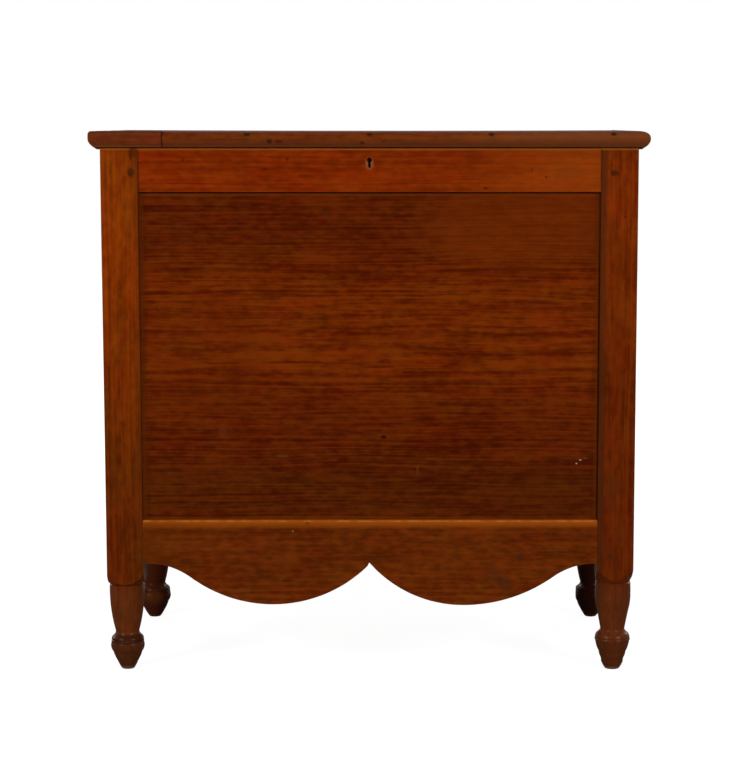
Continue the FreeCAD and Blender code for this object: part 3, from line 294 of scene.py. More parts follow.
def cherry(name, grain, pith, light, dark, ring=5 * MM, bend=RING_BEND, figure=(), gloss=0.06,
           shades=(), tints=(), marks=(), arris_colour="#7A3A12"):
    """Old varnished cherry.

    Cherry is a close, smooth wood: weak rings, very fine pores and short silky flecks.
    Shellac and wax over it have gone orange brown, and dusting has left a thin satin film.
    The specular level is low, since worn shellac is broken up by fine scratches and shows
    lamps only as soft glints on curved parts. The varnish lies thicker in some places than
    in others, so its colour wanders between gold and red.
    """
    material, tree = fresh(name)
    place, board = grain_space(tree, grain, pith)
    across = put(tree, "VectorMath", {0: board, 1: (0, 1, 1)}, operation="MULTIPLY")
    radius = put(tree, "VectorMath", {0: across}, operation="LENGTH")
    wander = grain_noise(tree, board, BEND_SIZE, 1.5)
    age = weighted(tree, [(wander, bend / ring), (radius, 1 / ring)], 0.0)
    growth = put(tree, "TexNoise", {"W": age, "Scale": 1.0, "Detail": 2.5, "Roughness": 0.6},
                 noise_dimensions="1D")
    growth = put(tree, "Math", {0: growth, **STRETCH}, operation="MULTIPLY_ADD")
    fibres = grain_noise(tree, board, FIBRE_SIZE, 2.0, 0.6)
    streak = grain_noise(tree, board, STREAK_SIZE, 3.0)
    cloud = grain_noise(tree, board, CLOUD_SIZE, 2.0)
    fleck = grain_noise(tree, board, FLECK_SIZE, 1.0)
    pores = grain_noise(tree, board, PORE_SIZE, 1.0)
    weights = {**FIGURE, **dict(figure)}
    tone = weighted(tree, zip((growth, fibres, streak, cloud, fleck), weights.values()), 0.5)
    tone = put(tree, "MapRange", {0: tone}, **SOFT)
    colour = put(tree, "Mix", {0: tone, 6: dark, 7: light}, **COLOURS)
    warmth = put(tree, "MapRange", {0: grain_noise(tree, board, WARMTH_SIZE, 3.0, 0.65), 1: -1.0}, **SOFT)
    varnish = put(tree, "Mix", {0: warmth, 6: VARNISH[0], 7: VARNISH[1]}, **COLOURS)
    colour = put(tree, "Mix", {0: 1.0, 6: colour, 7: varnish}, blend_type="MULTIPLY", **COLOURS)
    filled = put(tree, "MapRange", {0: pores, 1: 0.5, 2: 1.3, 4: 0.35}, **SOFT)
    colour = put(tree, "Mix", {0: filled, 6: colour, 7: PORE_DIRT}, **COLOURS)
    colour = tint_steps(tree, place, colour, shades, "MULTIPLY")
    colour = tint_steps(tree, place, colour, tints)
    colour = mark_steps(tree, place, colour, marks)
    patches = put(tree, "TexNoise", {"Vector": place, "Scale": 1 / WORN_PATCH, "Detail": 3.0})
    patches = put(tree, "MapRange", {0: patches, 1: 0.38, 2: 0.62, 3: 0.15, 4: 0.8}, **SOFT)
    worn = put(tree, "Attribute", attribute_name="worn").outputs["Fac"]
    worn = put(tree, "Math", {0: worn, 1: patches}, operation="MULTIPLY")
    colour = put(tree, "Mix", {0: worn, 6: colour, 7: arris_colour}, **COLOURS)
    raw = put(tree, "Attribute", attribute_name="raw").outputs["Fac"]
    dry = put(tree, "Mix", {0: tone, 6: BARE[0], 7: BARE[1]}, **COLOURS)
    dry = put(tree, "Mix", {0: 0.85, 6: colour, 7: dry}, **COLOURS)
    colour = put(tree, "Mix", {0: raw, 6: colour, 7: dry}, **COLOURS)
    smooth, rough = SATIN if gloss > 0.03 else DULL
    varnished = put(tree, "MapRange", {0: cloud, 1: -1.0, 3: smooth, 4: rough}, **SOFT)
    unpolished = put(tree, "Math", {0: raw, 1: RAW_ROUGHNESS}, operation="MULTIPLY")
    roughness = put(tree, "Math", {0: varnished, 1: unpolished}, operation="MAXIMUM")
    height = weighted(tree, [(fibres, 0.5), (growth, 0.3), (pores, -0.4)], 0.0)
    surface(tree, {"Strength": 0.2, "Distance": 0.12 * MM, "Height": height}, {
        "Base Color": colour, "Roughness": roughness, "IOR": WOOD_IOR, "Specular IOR Level": gloss})
    return material


def pith_beside(name, far=80 * MM):
    """A place beside the pith, the same for the same name."""
    chance = random.Random(name)
    return (chance.uniform(-1, 1), chance.uniform(0.5, 1) * far, chance.uniform(-1, 1) * far)


print("weights of the figure", FIGURE)

# %% [markdown]
# The boards inside the bin are poplar, planed and left bare. Poplar is pale and plain, with
# soft greenish and brown streaks, and two centuries of sugar, dust and hands have dulled
# it. It has no gloss, so the roughness is high and there is no coat.

# %% Poplar
POPLAR_ROUGHNESS = (0.62, 0.8)
GRIME_PATCH = 90.91 * MM


def poplar(name, grain, pith):
    """Bare, planed poplar, aged. A high roughness and a low gloss suit dry wood."""
    material, tree = fresh(name)
    place, board = grain_space(tree, grain, pith)
    fibres = grain_noise(tree, board, FIBRE_SIZE, 2.0, 0.6)
    streak = grain_noise(tree, board, STREAK_SIZE, 3.0)
    tone = put(tree, "MapRange", {0: weighted(tree, [(fibres, 0.2), (streak, 0.35)], 0.5)}, **SOFT)
    colour = put(tree, "Mix", {0: tone, 6: "#6E553A", 7: "#AD8F66"}, **COLOURS)
    grime = put(tree, "TexNoise", {"Vector": place, "Scale": 1 / GRIME_PATCH, "Detail": 5.0})
    grime = put(tree, "MapRange", {0: grime, 1: 0.45, 2: 0.75, 4: 0.5}, **SOFT)
    colour = put(tree, "Mix", {0: grime, 6: colour, 7: "#5A4431"}, **COLOURS)
    smooth, rough = POPLAR_ROUGHNESS
    roughness = put(tree, "MapRange", {0: fibres, 1: -1.0, 3: smooth, 4: rough}, **SOFT)
    surface(tree, {"Strength": 0.3, "Distance": 0.2 * MM, "Height": fibres}, {
        "Base Color": colour, "Roughness": roughness, "IOR": WOOD_IOR, "Specular IOR Level": 0.3})
    return material


print("poplar's roughness", POPLAR_ROUGHNESS)

# %% [markdown]
# Metal. The butt hinges are cast iron with a dark skin, rust in the low places and
# a dull shine where the knuckles rub. The lock is filed steel that has gone grey brown.
# A metal keeps the shader's own IOR, so only the metallic share and the roughness change.

# %% Iron and steel
METAL_GRIT = 0.8 * MM


def old_metal(name, skin, rust, rust_share, roughness, spot_size):
    """Aged iron or steel. Its skin of oxide is only half metal to the eye, and rust is none."""
    material, tree = fresh(name)
    place = put(tree, "TexCoord").outputs["Object"]
    spots = put(tree, "TexNoise", {
        "Vector": place, "Scale": 1 / spot_size, "Detail": 5.0, "Roughness": 0.65})
    rusty = put(tree, "MapRange", {0: spots, 1: 0.62 - rust_share, 2: 0.78 - rust_share}, **SOFT)
    colour = put(tree, "Mix", {0: rusty, 6: skin, 7: rust}, **COLOURS)
    metallic = put(tree, "MapRange", {0: rusty, 3: 0.6, 4: 0.1}, **SOFT)
    dullness = put(tree, "MapRange", {0: rusty, 3: roughness, 4: 0.85}, **SOFT)
    grit = put(tree, "TexNoise", {"Vector": place, "Scale": 1 / METAL_GRIT, "Detail": 2.0})
    height = put(tree, "Math", {0: grit, 1: rusty}, operation="ADD")
    surface(tree, {"Strength": 0.3, "Distance": 0.1 * MM, "Height": height},
            {"Base Color": colour, "Metallic": metallic, "Roughness": dullness})
    return material


hinge_iron = old_metal("cast_iron_hinge", "#55504B", "#3A2116", 0.12, 0.5, 6 * MM)
lock_steel = old_metal("filed_steel_lock", "#6F6A64", "#4B3324", 0.06, 0.38, 9 * MM)
nail_iron = old_metal("cut_nail_iron", "#241C18", "#26120A", 0.3, 0.65, 2 * MM)
print("metals", hinge_iron.name, lock_steel.name, nail_iron.name)

# %% [markdown]
# Joiner's helpers. A piece starts as a bmesh: a small editable mesh with its own operators.
# board() is a squared plank between two corners, and drawn_out() a bar with any section.
# slice_off() saws a piece at a plane. ease() rounds arrises, as a plane and years of dusting
# do, and paints the new faces as worn. rub() presses them in here and there.

# %% Joiner's helpers
SHARP = math.radians(32)


def begin():
    """An empty mesh whose faces can be painted as worn or raw."""
    bm = bmesh.new()
    bm.faces.layers.float.new("worn")
    bm.faces.layers.float.new("raw")
    return bm


def board(low, high):
    """A squared plank between two corners."""
    bm = begin()
    bmesh.ops.create_cube(bm, size=1)
    bmesh.ops.scale(bm, vec=Vector(high) - Vector(low), verts=bm.verts)
    bmesh.ops.translate(bm, vec=(Vector(low) + Vector(high)) / 2, verts=bm.verts)
    return bm


def everything(bm):
    """All parts of a mesh, as the operators take them."""
    return bm.verts[:] + bm.edges[:] + bm.faces[:]


def slice_along(bm, axis, pitch):
    """Cuts a piece across at a regular pitch, so that later steps can bend its edges."""
    places = [vert.co[axis] for vert in bm.verts]
    low, high = min(places), max(places)
    count = max(1, round((high - low) / pitch))
    normal = Vector((0, 0, 0))
    normal[axis] = 1
    for index in range(1, count):
        point = normal * (low + (high - low) * index / count)
        bmesh.ops.bisect_plane(bm, geom=everything(bm), plane_co=point, plane_no=normal)


def slice_off(bm, point, normal):
    """Cuts away what lies beyond a plane, and closes the cut."""
    cut = bmesh.ops.bisect_plane(bm, geom=everything(bm), plane_co=point, plane_no=normal,
                                 clear_outer=True, dist=0.001 * MM)
    rim = [item for item in cut["geom_cut"] if isinstance(item, bmesh.types.BMEdge)]
    bmesh.ops.contextual_create(bm, geom=rim)


def drawn_out(outline, by):
    """A bar whose section is a flat outline, drawn out by a distance."""
    bm = begin()
    face = bm.faces.new([bm.verts.new(point) for point in outline])
    drawn = bmesh.ops.extrude_face_region(bm, geom=[face])
    moved = [item for item in drawn["geom"] if isinstance(item, bmesh.types.BMVert)]
    bmesh.ops.translate(bm, vec=by, verts=moved)
    bmesh.ops.recalc_face_normals(bm, faces=bm.faces)
    return bm


def arrises(bm, wanted=None):
    """The sharp edges of a piece, all of them or the wanted ones."""
    return [
        edge for edge in bm.edges
        if len(edge.link_faces) == 2 and edge.calc_face_angle() > SHARP
        and (wanted is None or wanted(edge))
    ]


def short_of(direction, limit):
    """A test for the edges that keep short of a limit in a direction."""
    return lambda edge: all(vert.co.dot(direction) < limit for vert in edge.verts)


def ease(bm, width, wanted=None, segments=2):
    """Rounds arrises and paints them as worn."""
    made = bmesh.ops.bevel(
        bm, geom=arrises(bm, wanted), offset=width, offset_type="OFFSET", affect="EDGES",
        segments=segments, profile=0.5, material=-1, clamp_overlap=True,
    )
    worn = bm.faces.layers.float["worn"]
    for face in made["faces"]:
        face[worn] = 1
    return made["faces"]


def rub(bm, faces, depth, size):
    """Presses the corners of some faces inwards by uneven amounts, like old knocks."""
    bm.normal_update()
    for vert in {vert for face in faces for vert in face.verts}:
        press = noise.noise(vert.co / size) + 0.35 * noise.noise(vert.co / size * 3.1)
        vert.co -= vert.normal * max(0.0, press) * depth


def paint_raw(bm, is_raw):
    """Paints as raw the faces whose middle and normal pass a test."""
    raw = bm.faces.layers.float["raw"]
    bm.normal_update()
    for face in bm.faces:
        if is_raw(face.calc_center_median(), face.normal):
            face[raw] = 1


print("arrises sharper than", round(math.degrees(SHARP)), "degrees stay crisp")

# %% [markdown]
# Its normals are weighted by area, so that a wide face stays flat up to its eased edge. It
# also says which body the piece rides on, which pieces of the frame it stands for, and what
# it is made of.

# %% Carving and finishing
def as_object(bm, name):
    """A bmesh as a plain object in the scene."""
    mesh = bpy.data.meshes.new(name)
    bm.to_mesh(mesh)
    bm.free()
    item = bpy.data.objects.new(name, mesh)
    bpy.context.scene.collection.objects.link(item)
    return item


def carve(bm, *tools):
    """Takes the tools' shapes out of a piece."""
    stock = as_object(bm, "stock")
    cutters = [as_object(tool, "cutter") for tool in tools]
    for cutter in cutters:
        step = stock.modifiers.new("carve", "BOOLEAN")
        step.operation = "DIFFERENCE"
        step.solver = "EXACT"
        step.object = cutter
    seen = stock.evaluated_get(bpy.context.evaluated_depsgraph_get())
    mesh = bpy.data.meshes.new_from_object(seen)
    result = bmesh.new()
    result.from_mesh(mesh)
    for item in [stock, *cutters]:
        bpy.data.objects.remove(item)
    bpy.data.meshes.remove(mesh)
    return result


def finish(bm, name, body, material, slot, *nodes):
    """Names a piece, gives it its finish, and lets it stand for its frame nodes."""
    bmesh.ops.remove_doubles(bm, verts=bm.verts, dist=0.005 * MM)
    bmesh.ops.recalc_face_normals(bm, faces=bm.faces)
    for face in bm.faces:
        face.smooth = True
    for edge in bm.edges:
        edge.smooth = len(edge.link_faces) == 2 and edge.calc_face_angle() < SHARP
    piece = as_object(bm, name)
    even = piece.modifiers.new("flat faces stay flat", "WEIGHTED_NORMAL")
    even.keep_sharp = True
    piece.data.materials.append(material)
    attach(piece, body)
    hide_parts(*nodes)
    print(name, len(piece.data.polygons), "faces")


def dress(material, *nodes):
    """Gives a finish to frame nodes whose shape is right as it is."""
    for node in nodes:
        for place in frame["nodes"][node].material_slots:
            place.material = material


print("frame pieces to dress", len(frame["nodes"]))

# %% [markdown]
# The posts. Each is one square stick, and the lathe has cut its foot. A turned shape is an
# outline spun round an axis, so the outline is drawn as a few points with arcs between
# them and spun. The square part is what the lathe left alone: four bisect planes slice the
# spun shape flat. Where a flat meets the turning it leaves the rounded shoulder that
# turners call a pommel, without any extra work. Left and right feet are different turnings.

# %% Turned outlines
# Radius and height in millimetres, and how far the stretch to the next row bows outwards.
LEFT_FOOT = (
    (0, 0, 0), (9.6, 0, 0), (10.6, 0.7, 0.4), (17.4, 13.8, 0.6), (24.0, 29.0, 2.3),
    (26.7, 45.6, 0.4), (26.7, 48.8, 0), (25.7, 49.6, 0), (26.5, 50.4, 0.3), (26.0, 53.4, 0.3),
    (24.8, 54.7, 0), (24.5, 55.5, -0.9), (19.5, 62.6, 0), (19.4, 63.9, 1.8), (28.3, 123.6, 0.3),
    (28.2, 142.6, 0), (26.9, 143.6, 0), (27.0, 144.6, 0), (29.2, 145.6, 1.4), (43.2, 165.5, 0),
)
RIGHT_FOOT = (
    (0, 0, 0), (11.2, 0, 0), (12.2, 0.7, 0.5), (18.1, 12.2, -0.4), (19.5, 19.6, 0.6),
    (22.3, 29.0, 0.9), (28.2, 47.6, 0.9), (28.6, 52.4, 0), (28.2, 53.0, 0), (28.5, 53.6, 0.5),
    (27.6, 57.0, 0.5), (25.6, 60.4, -0.4), (20.4, 66.0, 0), (19.9, 67.5, -0.2),
    (28.0, 108.0, 0.5), (29.3, 128.0, 0.2), (28.9, 146.0, 0), (27.6, 147.2, 0), (27.8, 148.5, -1.0),
    (43.2, 172.0, 0),
)
# The back feet are a little fuller in the bulb than the front left one.
BULB_BOTTOM, BULB_TOP, FULLER = 5, 58, 1.3
BACK_FOOT = tuple((across + FULLER * (BULB_BOTTOM < up < BULB_TOP), up, bow)
                  for across, up, bow in LEFT_FOOT)
FEET = {"post_front_left": LEFT_FOOT, "post_front_right": RIGHT_FOOT,
        "post_back_left": BACK_FOOT, "post_back_right": BACK_FOOT}
# How far each foot was turned off the middle of its post, to the right.
TURNING_SHIFT = {
    "post_front_left": -1.3 * MM, "post_front_right": -0.6 * MM,
    "post_back_left": 0.4 * MM, "post_back_right": -3.0 * MM,
}
SPIN_STEPS = 64
POST_ARRIS = 1.1 * MM


def arc_between(start, end, bow, steps):
    """Points from start towards end on an arc that bows to the right by a distance."""
    chord = end - start
    radius = (chord.length ** 2 / 4 + bow ** 2) / (2 * abs(bow))
    half_angle = math.asin(min(1.0, chord.length / (2 * radius)))
    across = Vector((chord.y, -chord.x)).normalized() * math.copysign(1, bow)
    middle = (start + end) / 2 - across * radius * math.cos(half_angle)
    points = []
    for index in range(steps):
        angle = half_angle * (2 * index / steps - 1)
        points.append(middle + chord.normalized() * radius * math.sin(angle)
                      + across * radius * math.cos(angle))
    return points


def smooth_outline(rows):
    """An outline's points in metres, with its arcs divided finely."""
    points = []
    for (across, up, bow), (next_across, next_up, _) in zip(rows, rows[1:]):
        start = Vector((across, up)) * MM
        end = Vector((next_across, next_up)) * MM
        if bow:
            steps = max(3, min(14, round((end - start).length / (2.5 * MM))))
            points += arc_between(start, end, bow * MM, steps)
        else:
            points.append(start)
    points.append(Vector(rows[-1][:2]) * MM)
    return points


print("outline points", len(smooth_outline(LEFT_FOOT)), len(smooth_outline(RIGHT_FOOT)))

# %% Posts
FOUR_WAYS = [Vector(way) for way in ((1, 0, 0), (-1, 0, 0), (0, 1, 0), (0, -1, 0))]
# An edge that rises by more than this is one of the long arrises.
LONG_ARRIS = 0.3


def turned_post(side_x, side_y, rows, shift):
    """A post, spun, sliced square above its foot and eased along its arrises."""
    bm = begin()
    axis = Vector((side_x * (HALF_WIDTH - POST_WIDTH / 2), side_y * (HALF_DEPTH - POST_WIDTH / 2), 0))
    outline = smooth_outline(rows)
    outline += [Vector(corner) for corner in (
        (POST_WIDTH, outline[-1].y), (POST_WIDTH, CASE_TOP), (0, CASE_TOP))]
    centre = axis + Vector((shift, 0, 0))
    chain = [bm.verts.new(centre + Vector((point.x, 0, point.y))) for point in outline]
    edges = [bm.edges.new(pair) for pair in zip(chain, chain[1:])]
    bmesh.ops.spin(bm, geom=chain + edges, cent=centre, axis=(0, 0, 1), angle=2 * math.pi,
                   steps=SPIN_STEPS, use_merge=True)
    bmesh.ops.remove_doubles(bm, verts=bm.verts, dist=0.01 * MM)
    for way in FOUR_WAYS:
        slice_off(bm, axis + way * POST_WIDTH / 2, way)
    bmesh.ops.recalc_face_normals(bm, faces=bm.faces)
    ease(bm, POST_ARRIS, lambda edge: abs(edge.verts[0].co.z - edge.verts[1].co.z) > LONG_ARRIS)
    bmesh.ops.bisect_plane(bm, geom=everything(bm), plane_co=(0, 0, RAIL_BOTTOM), plane_no=(0, 0, 1))

    def bare(middle, normal):
        into_bin = -side_y * normal.y > 0.95 or (side_y > 0 and -side_x * normal.x > 0.95)
        at_seat = normal.z > 0.9 and middle.z > CASE_TOP - MM
        below_apron = abs(normal.x) > 0.95 and abs(middle.x) < SPAN_X + 0.3 * MM
        return at_seat or (into_bin and middle.z > RAIL_BOTTOM) or (
            below_apron and middle.z < RAIL_BOTTOM)

    paint_raw(bm, bare)
    return bm


print("a post is", round(POST_WIDTH / MM, 1), "mm square and", round(CASE_TOP / MM), "mm tall")

# %% [markdown]
# The posts' finish. They have faded to a golden brown, and a painted shade darkens them
# towards the floor; the bulbs of the feet are darker still. A darker strip runs along the
# panel's side, with a painted shadow line at the post's inner edge, and there is dirt round
# the feet. The top arris is rubbed pale and carries a painted highlight, and the eased
# arrises are painted dark as painted shade. The pair on the left is painted a little lighter
# than the pair on the right: partly painted light from the left, partly a redder tone on the
# right.

# %% Finish of the posts
def front_marks(depth, half_depth, *rows):
    """Marks on a front face. Each is across, up, half width, half height, hex and strength."""
    return tuple(((across, depth, up), (wide, half_depth, tall), code, strength)
                 for across, up, wide, tall, code, strength in rows)


# The worn top arris of the case, with a painted highlight on it: a bright band just below the case top.
CASE_ARRIS_WEAR_AND_HIGHLIGHT = ("Z", CASE_TOP - 4.4 * MM, CASE_TOP - 1.9 * MM, "#C06A24", 0.8)
# Painted shade: the posts get darker towards the floor, and darker again at the bulbs of the feet.
POST_SHADES = {
    "left": (("Z", 0.70, 0.24, "#C0C6EA", 1.0), ("Z", 0.066, 0.044, "#B8B8C4", 1.0)),
    "right": (("Z", 0.80, 0.24, "#CCC8E8", 1.0), ("Z", 0.068, 0.046, "#D4D6E0", 1.0)),
}
FOOT_GRIME = (("Z", 0.155, 0.13, "#5E3A20", 0.25), ("Z", 0.008, 0.001, "#8A6A50", 0.5))
# Along each post's inner edge: a darker strip, and a painted shadow line on the last millimetre before
# the panel's recess.
INNER_EDGE_SHADE = "#260E05"
POST_INNER_DARKENING = {
    "left": (("X", -0.386, -0.372, "#512608", 0.4),
             ("X", -SPAN_X - 0.9 * MM, -SPAN_X - 0.1 * MM, INNER_EDGE_SHADE, 0.7)),
    "right": (("X", 0.386, 0.376, "#47200A", 0.75),
              ("X", SPAN_X + 0.9 * MM, SPAN_X + 0.1 * MM, INNER_EDGE_SHADE, 0.6)),
}
# After the marks on the front come a painted shade on the collar of the front bulb, and a
# painted shade on the inner side of the back feet, where the chest shades them. The last mark
# on the left is a painted glint on a back bulb.
POST_MARKS = {
    "left": front_marks(
        -HALF_DEPTH, 0.03,
        (-0.3824, 0.849, 0.003, 0.011, "#3A1603", 0.8),
        (-0.3829, 0.8205, 0.0075, 0.010, "#431A04", 0.75),
        (-0.3795, 0.853, 0.010, 0.012, "#4A1E08", 0.7),
        # A pale line on the ridge of the front left bulb: a worn edge and a painted glint.
        (-0.4025, 0.0500, 0.015, 0.0014, "#A07448", 0.45),
    ) + (
        # Painted shade on the collar of the front left bulb.
        ((-0.4015, -0.207, 0.0530), (0.065, 0.065, 0.010), "#30140A", 0.75),
        # Painted shade on the inner side of the back left foot.
        ((-0.402, 0.14, 0.06), (0.09, 0.08, 0.16), "#401A0C", 0.9),
        # A painted glint on the back left bulb.
        ((-0.4000, 0.166, 0.0400), (0.024, 0.030, 0.018), "#5E3012", 0.5),
    ),
    "right": front_marks(
        -HALF_DEPTH, 0.03,
        (0.3935, 0.8195, 0.0095, 0.0065, "#3F1A08", 0.7),
        (0.411, 0.750, 0.0025, 0.0025, "#3A1808", 0.7),
        (0.395, 0.300, 0.012, 0.03, "#46200B", 0.35),
    ) + (
        # Painted shade on the inner side of the back right foot.
        ((0.402, 0.14, 0.06), (0.09, 0.08, 0.16), "#1E0C08", 0.9),
    ),
}
# Left and right tones of the same wood: the left is lighter as painted light from the left, and the right
# has a redder tone.
POST_TONES = {"left": ("#923E03", "#652601"), "right": ("#863704", "#5E2101")}
POST_FIGURE = {"fibres": 0.14, "streaks": 0.26, "clouds": 0.3, "flecks": 0.28}
for place_x, side_x in (("left", -1), ("right", 1)):
    for place_y, side_y, gloss in (("front", -1, 0.07), ("back", 1, 0.04)):
        node = f"post_{place_y}_{place_x}"
        # The posts' eased arrises take a dark colour: painted shade where the arrises turn away from the
        # light.
        wood = cherry(f"varnished_cherry_{node}", "z", pith_beside(node), *POST_TONES[place_x],
                      gloss=gloss, figure=POST_FIGURE, shades=POST_SHADES[place_x],
                      tints=(*POST_INNER_DARKENING[place_x], *FOOT_GRIME, CASE_ARRIS_WEAR_AND_HIGHLIGHT),
                      marks=POST_MARKS[place_x], arris_colour="#4E2206")
        shape = turned_post(side_x, side_y, FEET[node], TURNING_SHIFT[node])
        finish(shape, f"{node}_wood", "case", wood, "cherry_posts", node)

# %% [markdown]
# Rails. The side, back and top rails are plain planks tenoned into the posts, flush
# with them outside. A plank is a stretched cube, and its long outer arrises are eased.
# The joint with the post then reads as a fine dark line, because both edges fall away.
# Their inner faces and top edges never saw varnish, so they are painted as raw.

# %% Sides of the case
INWARD = {
    "front": Vector((0, 1, 0)),
    "back": Vector((0, -1, 0)),
    "left": Vector((1, 0, 0)),
    "right": Vector((-1, 0, 0)),
}
ALONG = {"x": Vector((1, 0, 0)), "y": Vector((0, 1, 0))}
HALF_SPAN = {"x": SPAN_X, "y": SPAN_Y}
FACE = {"x": HALF_DEPTH, "y": HALF_WIDTH}
RAIL_ARRIS = 0.8 * MM
# How deep old knocks go, and how far apart they are.
RAIL_KNOCKS = (0.25 * MM, 35 * MM)
RAIL_SLICE = 90 * MM
JOINT_REACH = 4 * MM


def grain_of(side):
    """The direction in which a side's rails and panel run."""
    return "x" if side in ("front", "back") else "y"


def rail_between(side, bottom, top):
    """A plank between the posts of a side."""
    inward, grain = INWARD[side], grain_of(side)
    first = -inward * FACE[grain] - ALONG[grain] * HALF_SPAN[grain]
    second = -inward * (FACE[grain] - RAIL_THICKNESS) + ALONG[grain] * HALF_SPAN[grain]
    return board((min(first.x, second.x), min(first.y, second.y), bottom),
                 (max(first.x, second.x), max(first.y, second.y), top))


def unvarnished(side, bottom_too=True):
    """A test for the faces of a side's planks that were left bare."""
    inward = INWARD[side]

    def test(middle, normal):
        return normal.dot(inward) > 0.7 or (normal.z > 0.9 and middle.z > CASE_TOP - MM) or (
            bottom_too and normal.z < -0.9)

    return test


def plain_rail(node, side, bottom, top, *tools, tints=(), marks=()):
    """A rail with eased outer arrises and what is carved out of it."""
    bm = rail_between(side, bottom, top)
    inward, grain = INWARD[side], grain_of(side)
    slice_along(bm, "xy".index(grain), RAIL_SLICE)
    face = min(vert.co.dot(inward) for vert in bm.verts)
    rub(bm, ease(bm, RAIL_ARRIS, short_of(inward, face + MM)), *RAIL_KNOCKS)
    paint_raw(bm, unvarnished(side))
    if tools:
        # The rubbed arris leaves its faces a little twisted. Triangles are flat, and cut cleanly.
        bmesh.ops.triangulate(bm, faces=bm.faces)
        bm = carve(bm, *tools)
    span = HALF_SPAN[grain]
    joint_dirt = [(grain.upper(), end * (span - JOINT_REACH), end * span, "#8C7C70", 0.8)
                  for end in (-1, 1)]
    wood = cherry(f"varnished_cherry_{node}", grain, pith_beside(node), "#8D3403", "#691F00",
                  shades=joint_dirt, tints=tints, marks=marks)
    finish(bm, f"{node}_wood", "case", wood, "cherry_rails", node)


for side in ("back", "left", "right"):
    plain_rail(f"rail_{side}_bottom", side, RAIL_BOTTOM, OPENING_BOTTOM)
for side in ("left", "right"):
    plain_rail(f"rail_{side}_top", side, OPENING_TOP, CASE_TOP)

# %% [markdown]
# The back rail is let down for the two hinge leaves, so that the lid closes on wood and not
# on iron. The recess is the leaf's own box, a little larger, carved out of the top edge.

# %% Back rail with its hinge recesses
JOINER_FIT = 0.1 * MM
OVERRUN = 2 * MM
LEAF_THICKNESS = 1.8 * MM


def leaf_recess(name):
    """What the case leaf of a hinge takes out of the back rail."""
    low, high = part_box(f"hinge_{name}_case_leaf")
    return board((low.x - JOINER_FIT, low.y - JOINER_FIT, CASE_TOP - LEAF_THICKNESS),
                 (high.x + JOINER_FIT, HALF_DEPTH + OVERRUN, CASE_TOP + OVERRUN))


plain_rail("rail_back_top", "back", OPENING_TOP, CASE_TOP, leaf_recess("left"), leaf_recess("right"))

# %% [markdown]
# The front top rail takes the lock in a pocket behind, and the keyhole goes through what is
# left. The keyhole is drilled and then sawn: a round head over a narrow slot. A cone with
# equal radii is the drill, and a thin plank is the saw.

# %% Front rail with keyhole and lock pocket
KEYHOLE_HEIGHT = CASE_TOP - 19.3 * MM
KEYHOLE_RADIUS = 3.9 * MM
KEYHOLE_SLOT = 4.0 * MM
KEYHOLE_DROP = 12.1 * MM
LOCK_FIT = 0.2 * MM
LOCK_BODY_HALF = 38.5 * MM
LOCK_TOP_THICKNESS = 2.2 * MM


def keyhole_tools(front, back):
    """The drill and the saw cut of a keyhole between two depths."""
    drill = begin()
    bmesh.ops.create_cone(drill, cap_ends=True, segments=40, radius1=KEYHOLE_RADIUS,
                          radius2=KEYHOLE_RADIUS, depth=back - front)
    bmesh.ops.rotate(drill, verts=drill.verts, matrix=Matrix.Rotation(math.pi / 2, 3, "X"))
    bmesh.ops.translate(drill, verts=drill.verts, vec=(0, (front + back) / 2, KEYHOLE_HEIGHT))
    saw = board((-KEYHOLE_SLOT / 2, front - MM, KEYHOLE_HEIGHT - KEYHOLE_DROP),
                (KEYHOLE_SLOT / 2, back + MM, KEYHOLE_HEIGHT))
    return drill, saw


lock_low, lock_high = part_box("lock_case")
pocket_body = board((-LOCK_BODY_HALF - LOCK_FIT, lock_low.y - LOCK_FIT, lock_low.z - LOCK_FIT),
                    (LOCK_BODY_HALF + LOCK_FIT, lock_high.y + OVERRUN, CASE_TOP + OVERRUN))
pocket_top = board((lock_low.x - LOCK_FIT, lock_low.y - LOCK_FIT, CASE_TOP - LOCK_TOP_THICKNESS),
                   (lock_high.x + LOCK_FIT, lock_high.y + OVERRUN, CASE_TOP + OVERRUN))
RAIL_TINTS = (("X", 0.09, 0.31, "#95430A", 0.36), CASE_ARRIS_WEAR_AND_HIGHLIGHT)
RAIL_MARKS = front_marks(
    -HALF_DEPTH, 0.01,
    (0.000, 0.835, 0.0085, 0.0125, "#8E4E2C", 0.75),
    (-0.299, 0.8407, 0.002, 0.003, "#4A1703", 0.7),
    (-0.132, 0.8423, 0.003, 0.004, "#451504", 0.6),
    (-0.1675, 0.827, 0.006, 0.002, "#3F1203", 0.7),
    (0.284, 0.8139, 0.0022, 0.0022, "#431403", 0.8),
    (0.2607, 0.8248, 0.002, 0.006, "#4E1A04", 0.5),
    (0.187, 0.795, 0.006, 0.003, "#3F1203", 0.6),
    (0.168, 0.844, 0.02, 0.013, "#5F1D03", 0.55),
    (0.317, 0.8206, 0.034, 0.014, "#6B3208", 0.25),
)
plain_rail("rail_front_top", "front", OPENING_TOP, CASE_TOP, pocket_body, pocket_top,
           *keyhole_tools(-HALF_DEPTH - OVERRUN, lock_low.y), tints=RAIL_TINTS, marks=RAIL_MARKS)

# %% [markdown]
# The apron is one wide board under the panel, sawn to two lobes that meet in a cusp. Each
# half is drawn with three arcs: one from the cusp to the lowest point, one that turns the
# lobe upwards, and a hollow one that leads up to the post. The halves were sawn by
# hand and differ a little. An extrusion gives the board its thickness. Its upper arris
# is worn quite round, as skirts, brooms and dusters have met it for two hundred years, and
# it catches a band of light.

# %% Apron
LOBE_DROP = 68.9 * MM
CUSP = Vector((-1.4 * MM, RAIL_BOTTOM + 1.4 * MM))
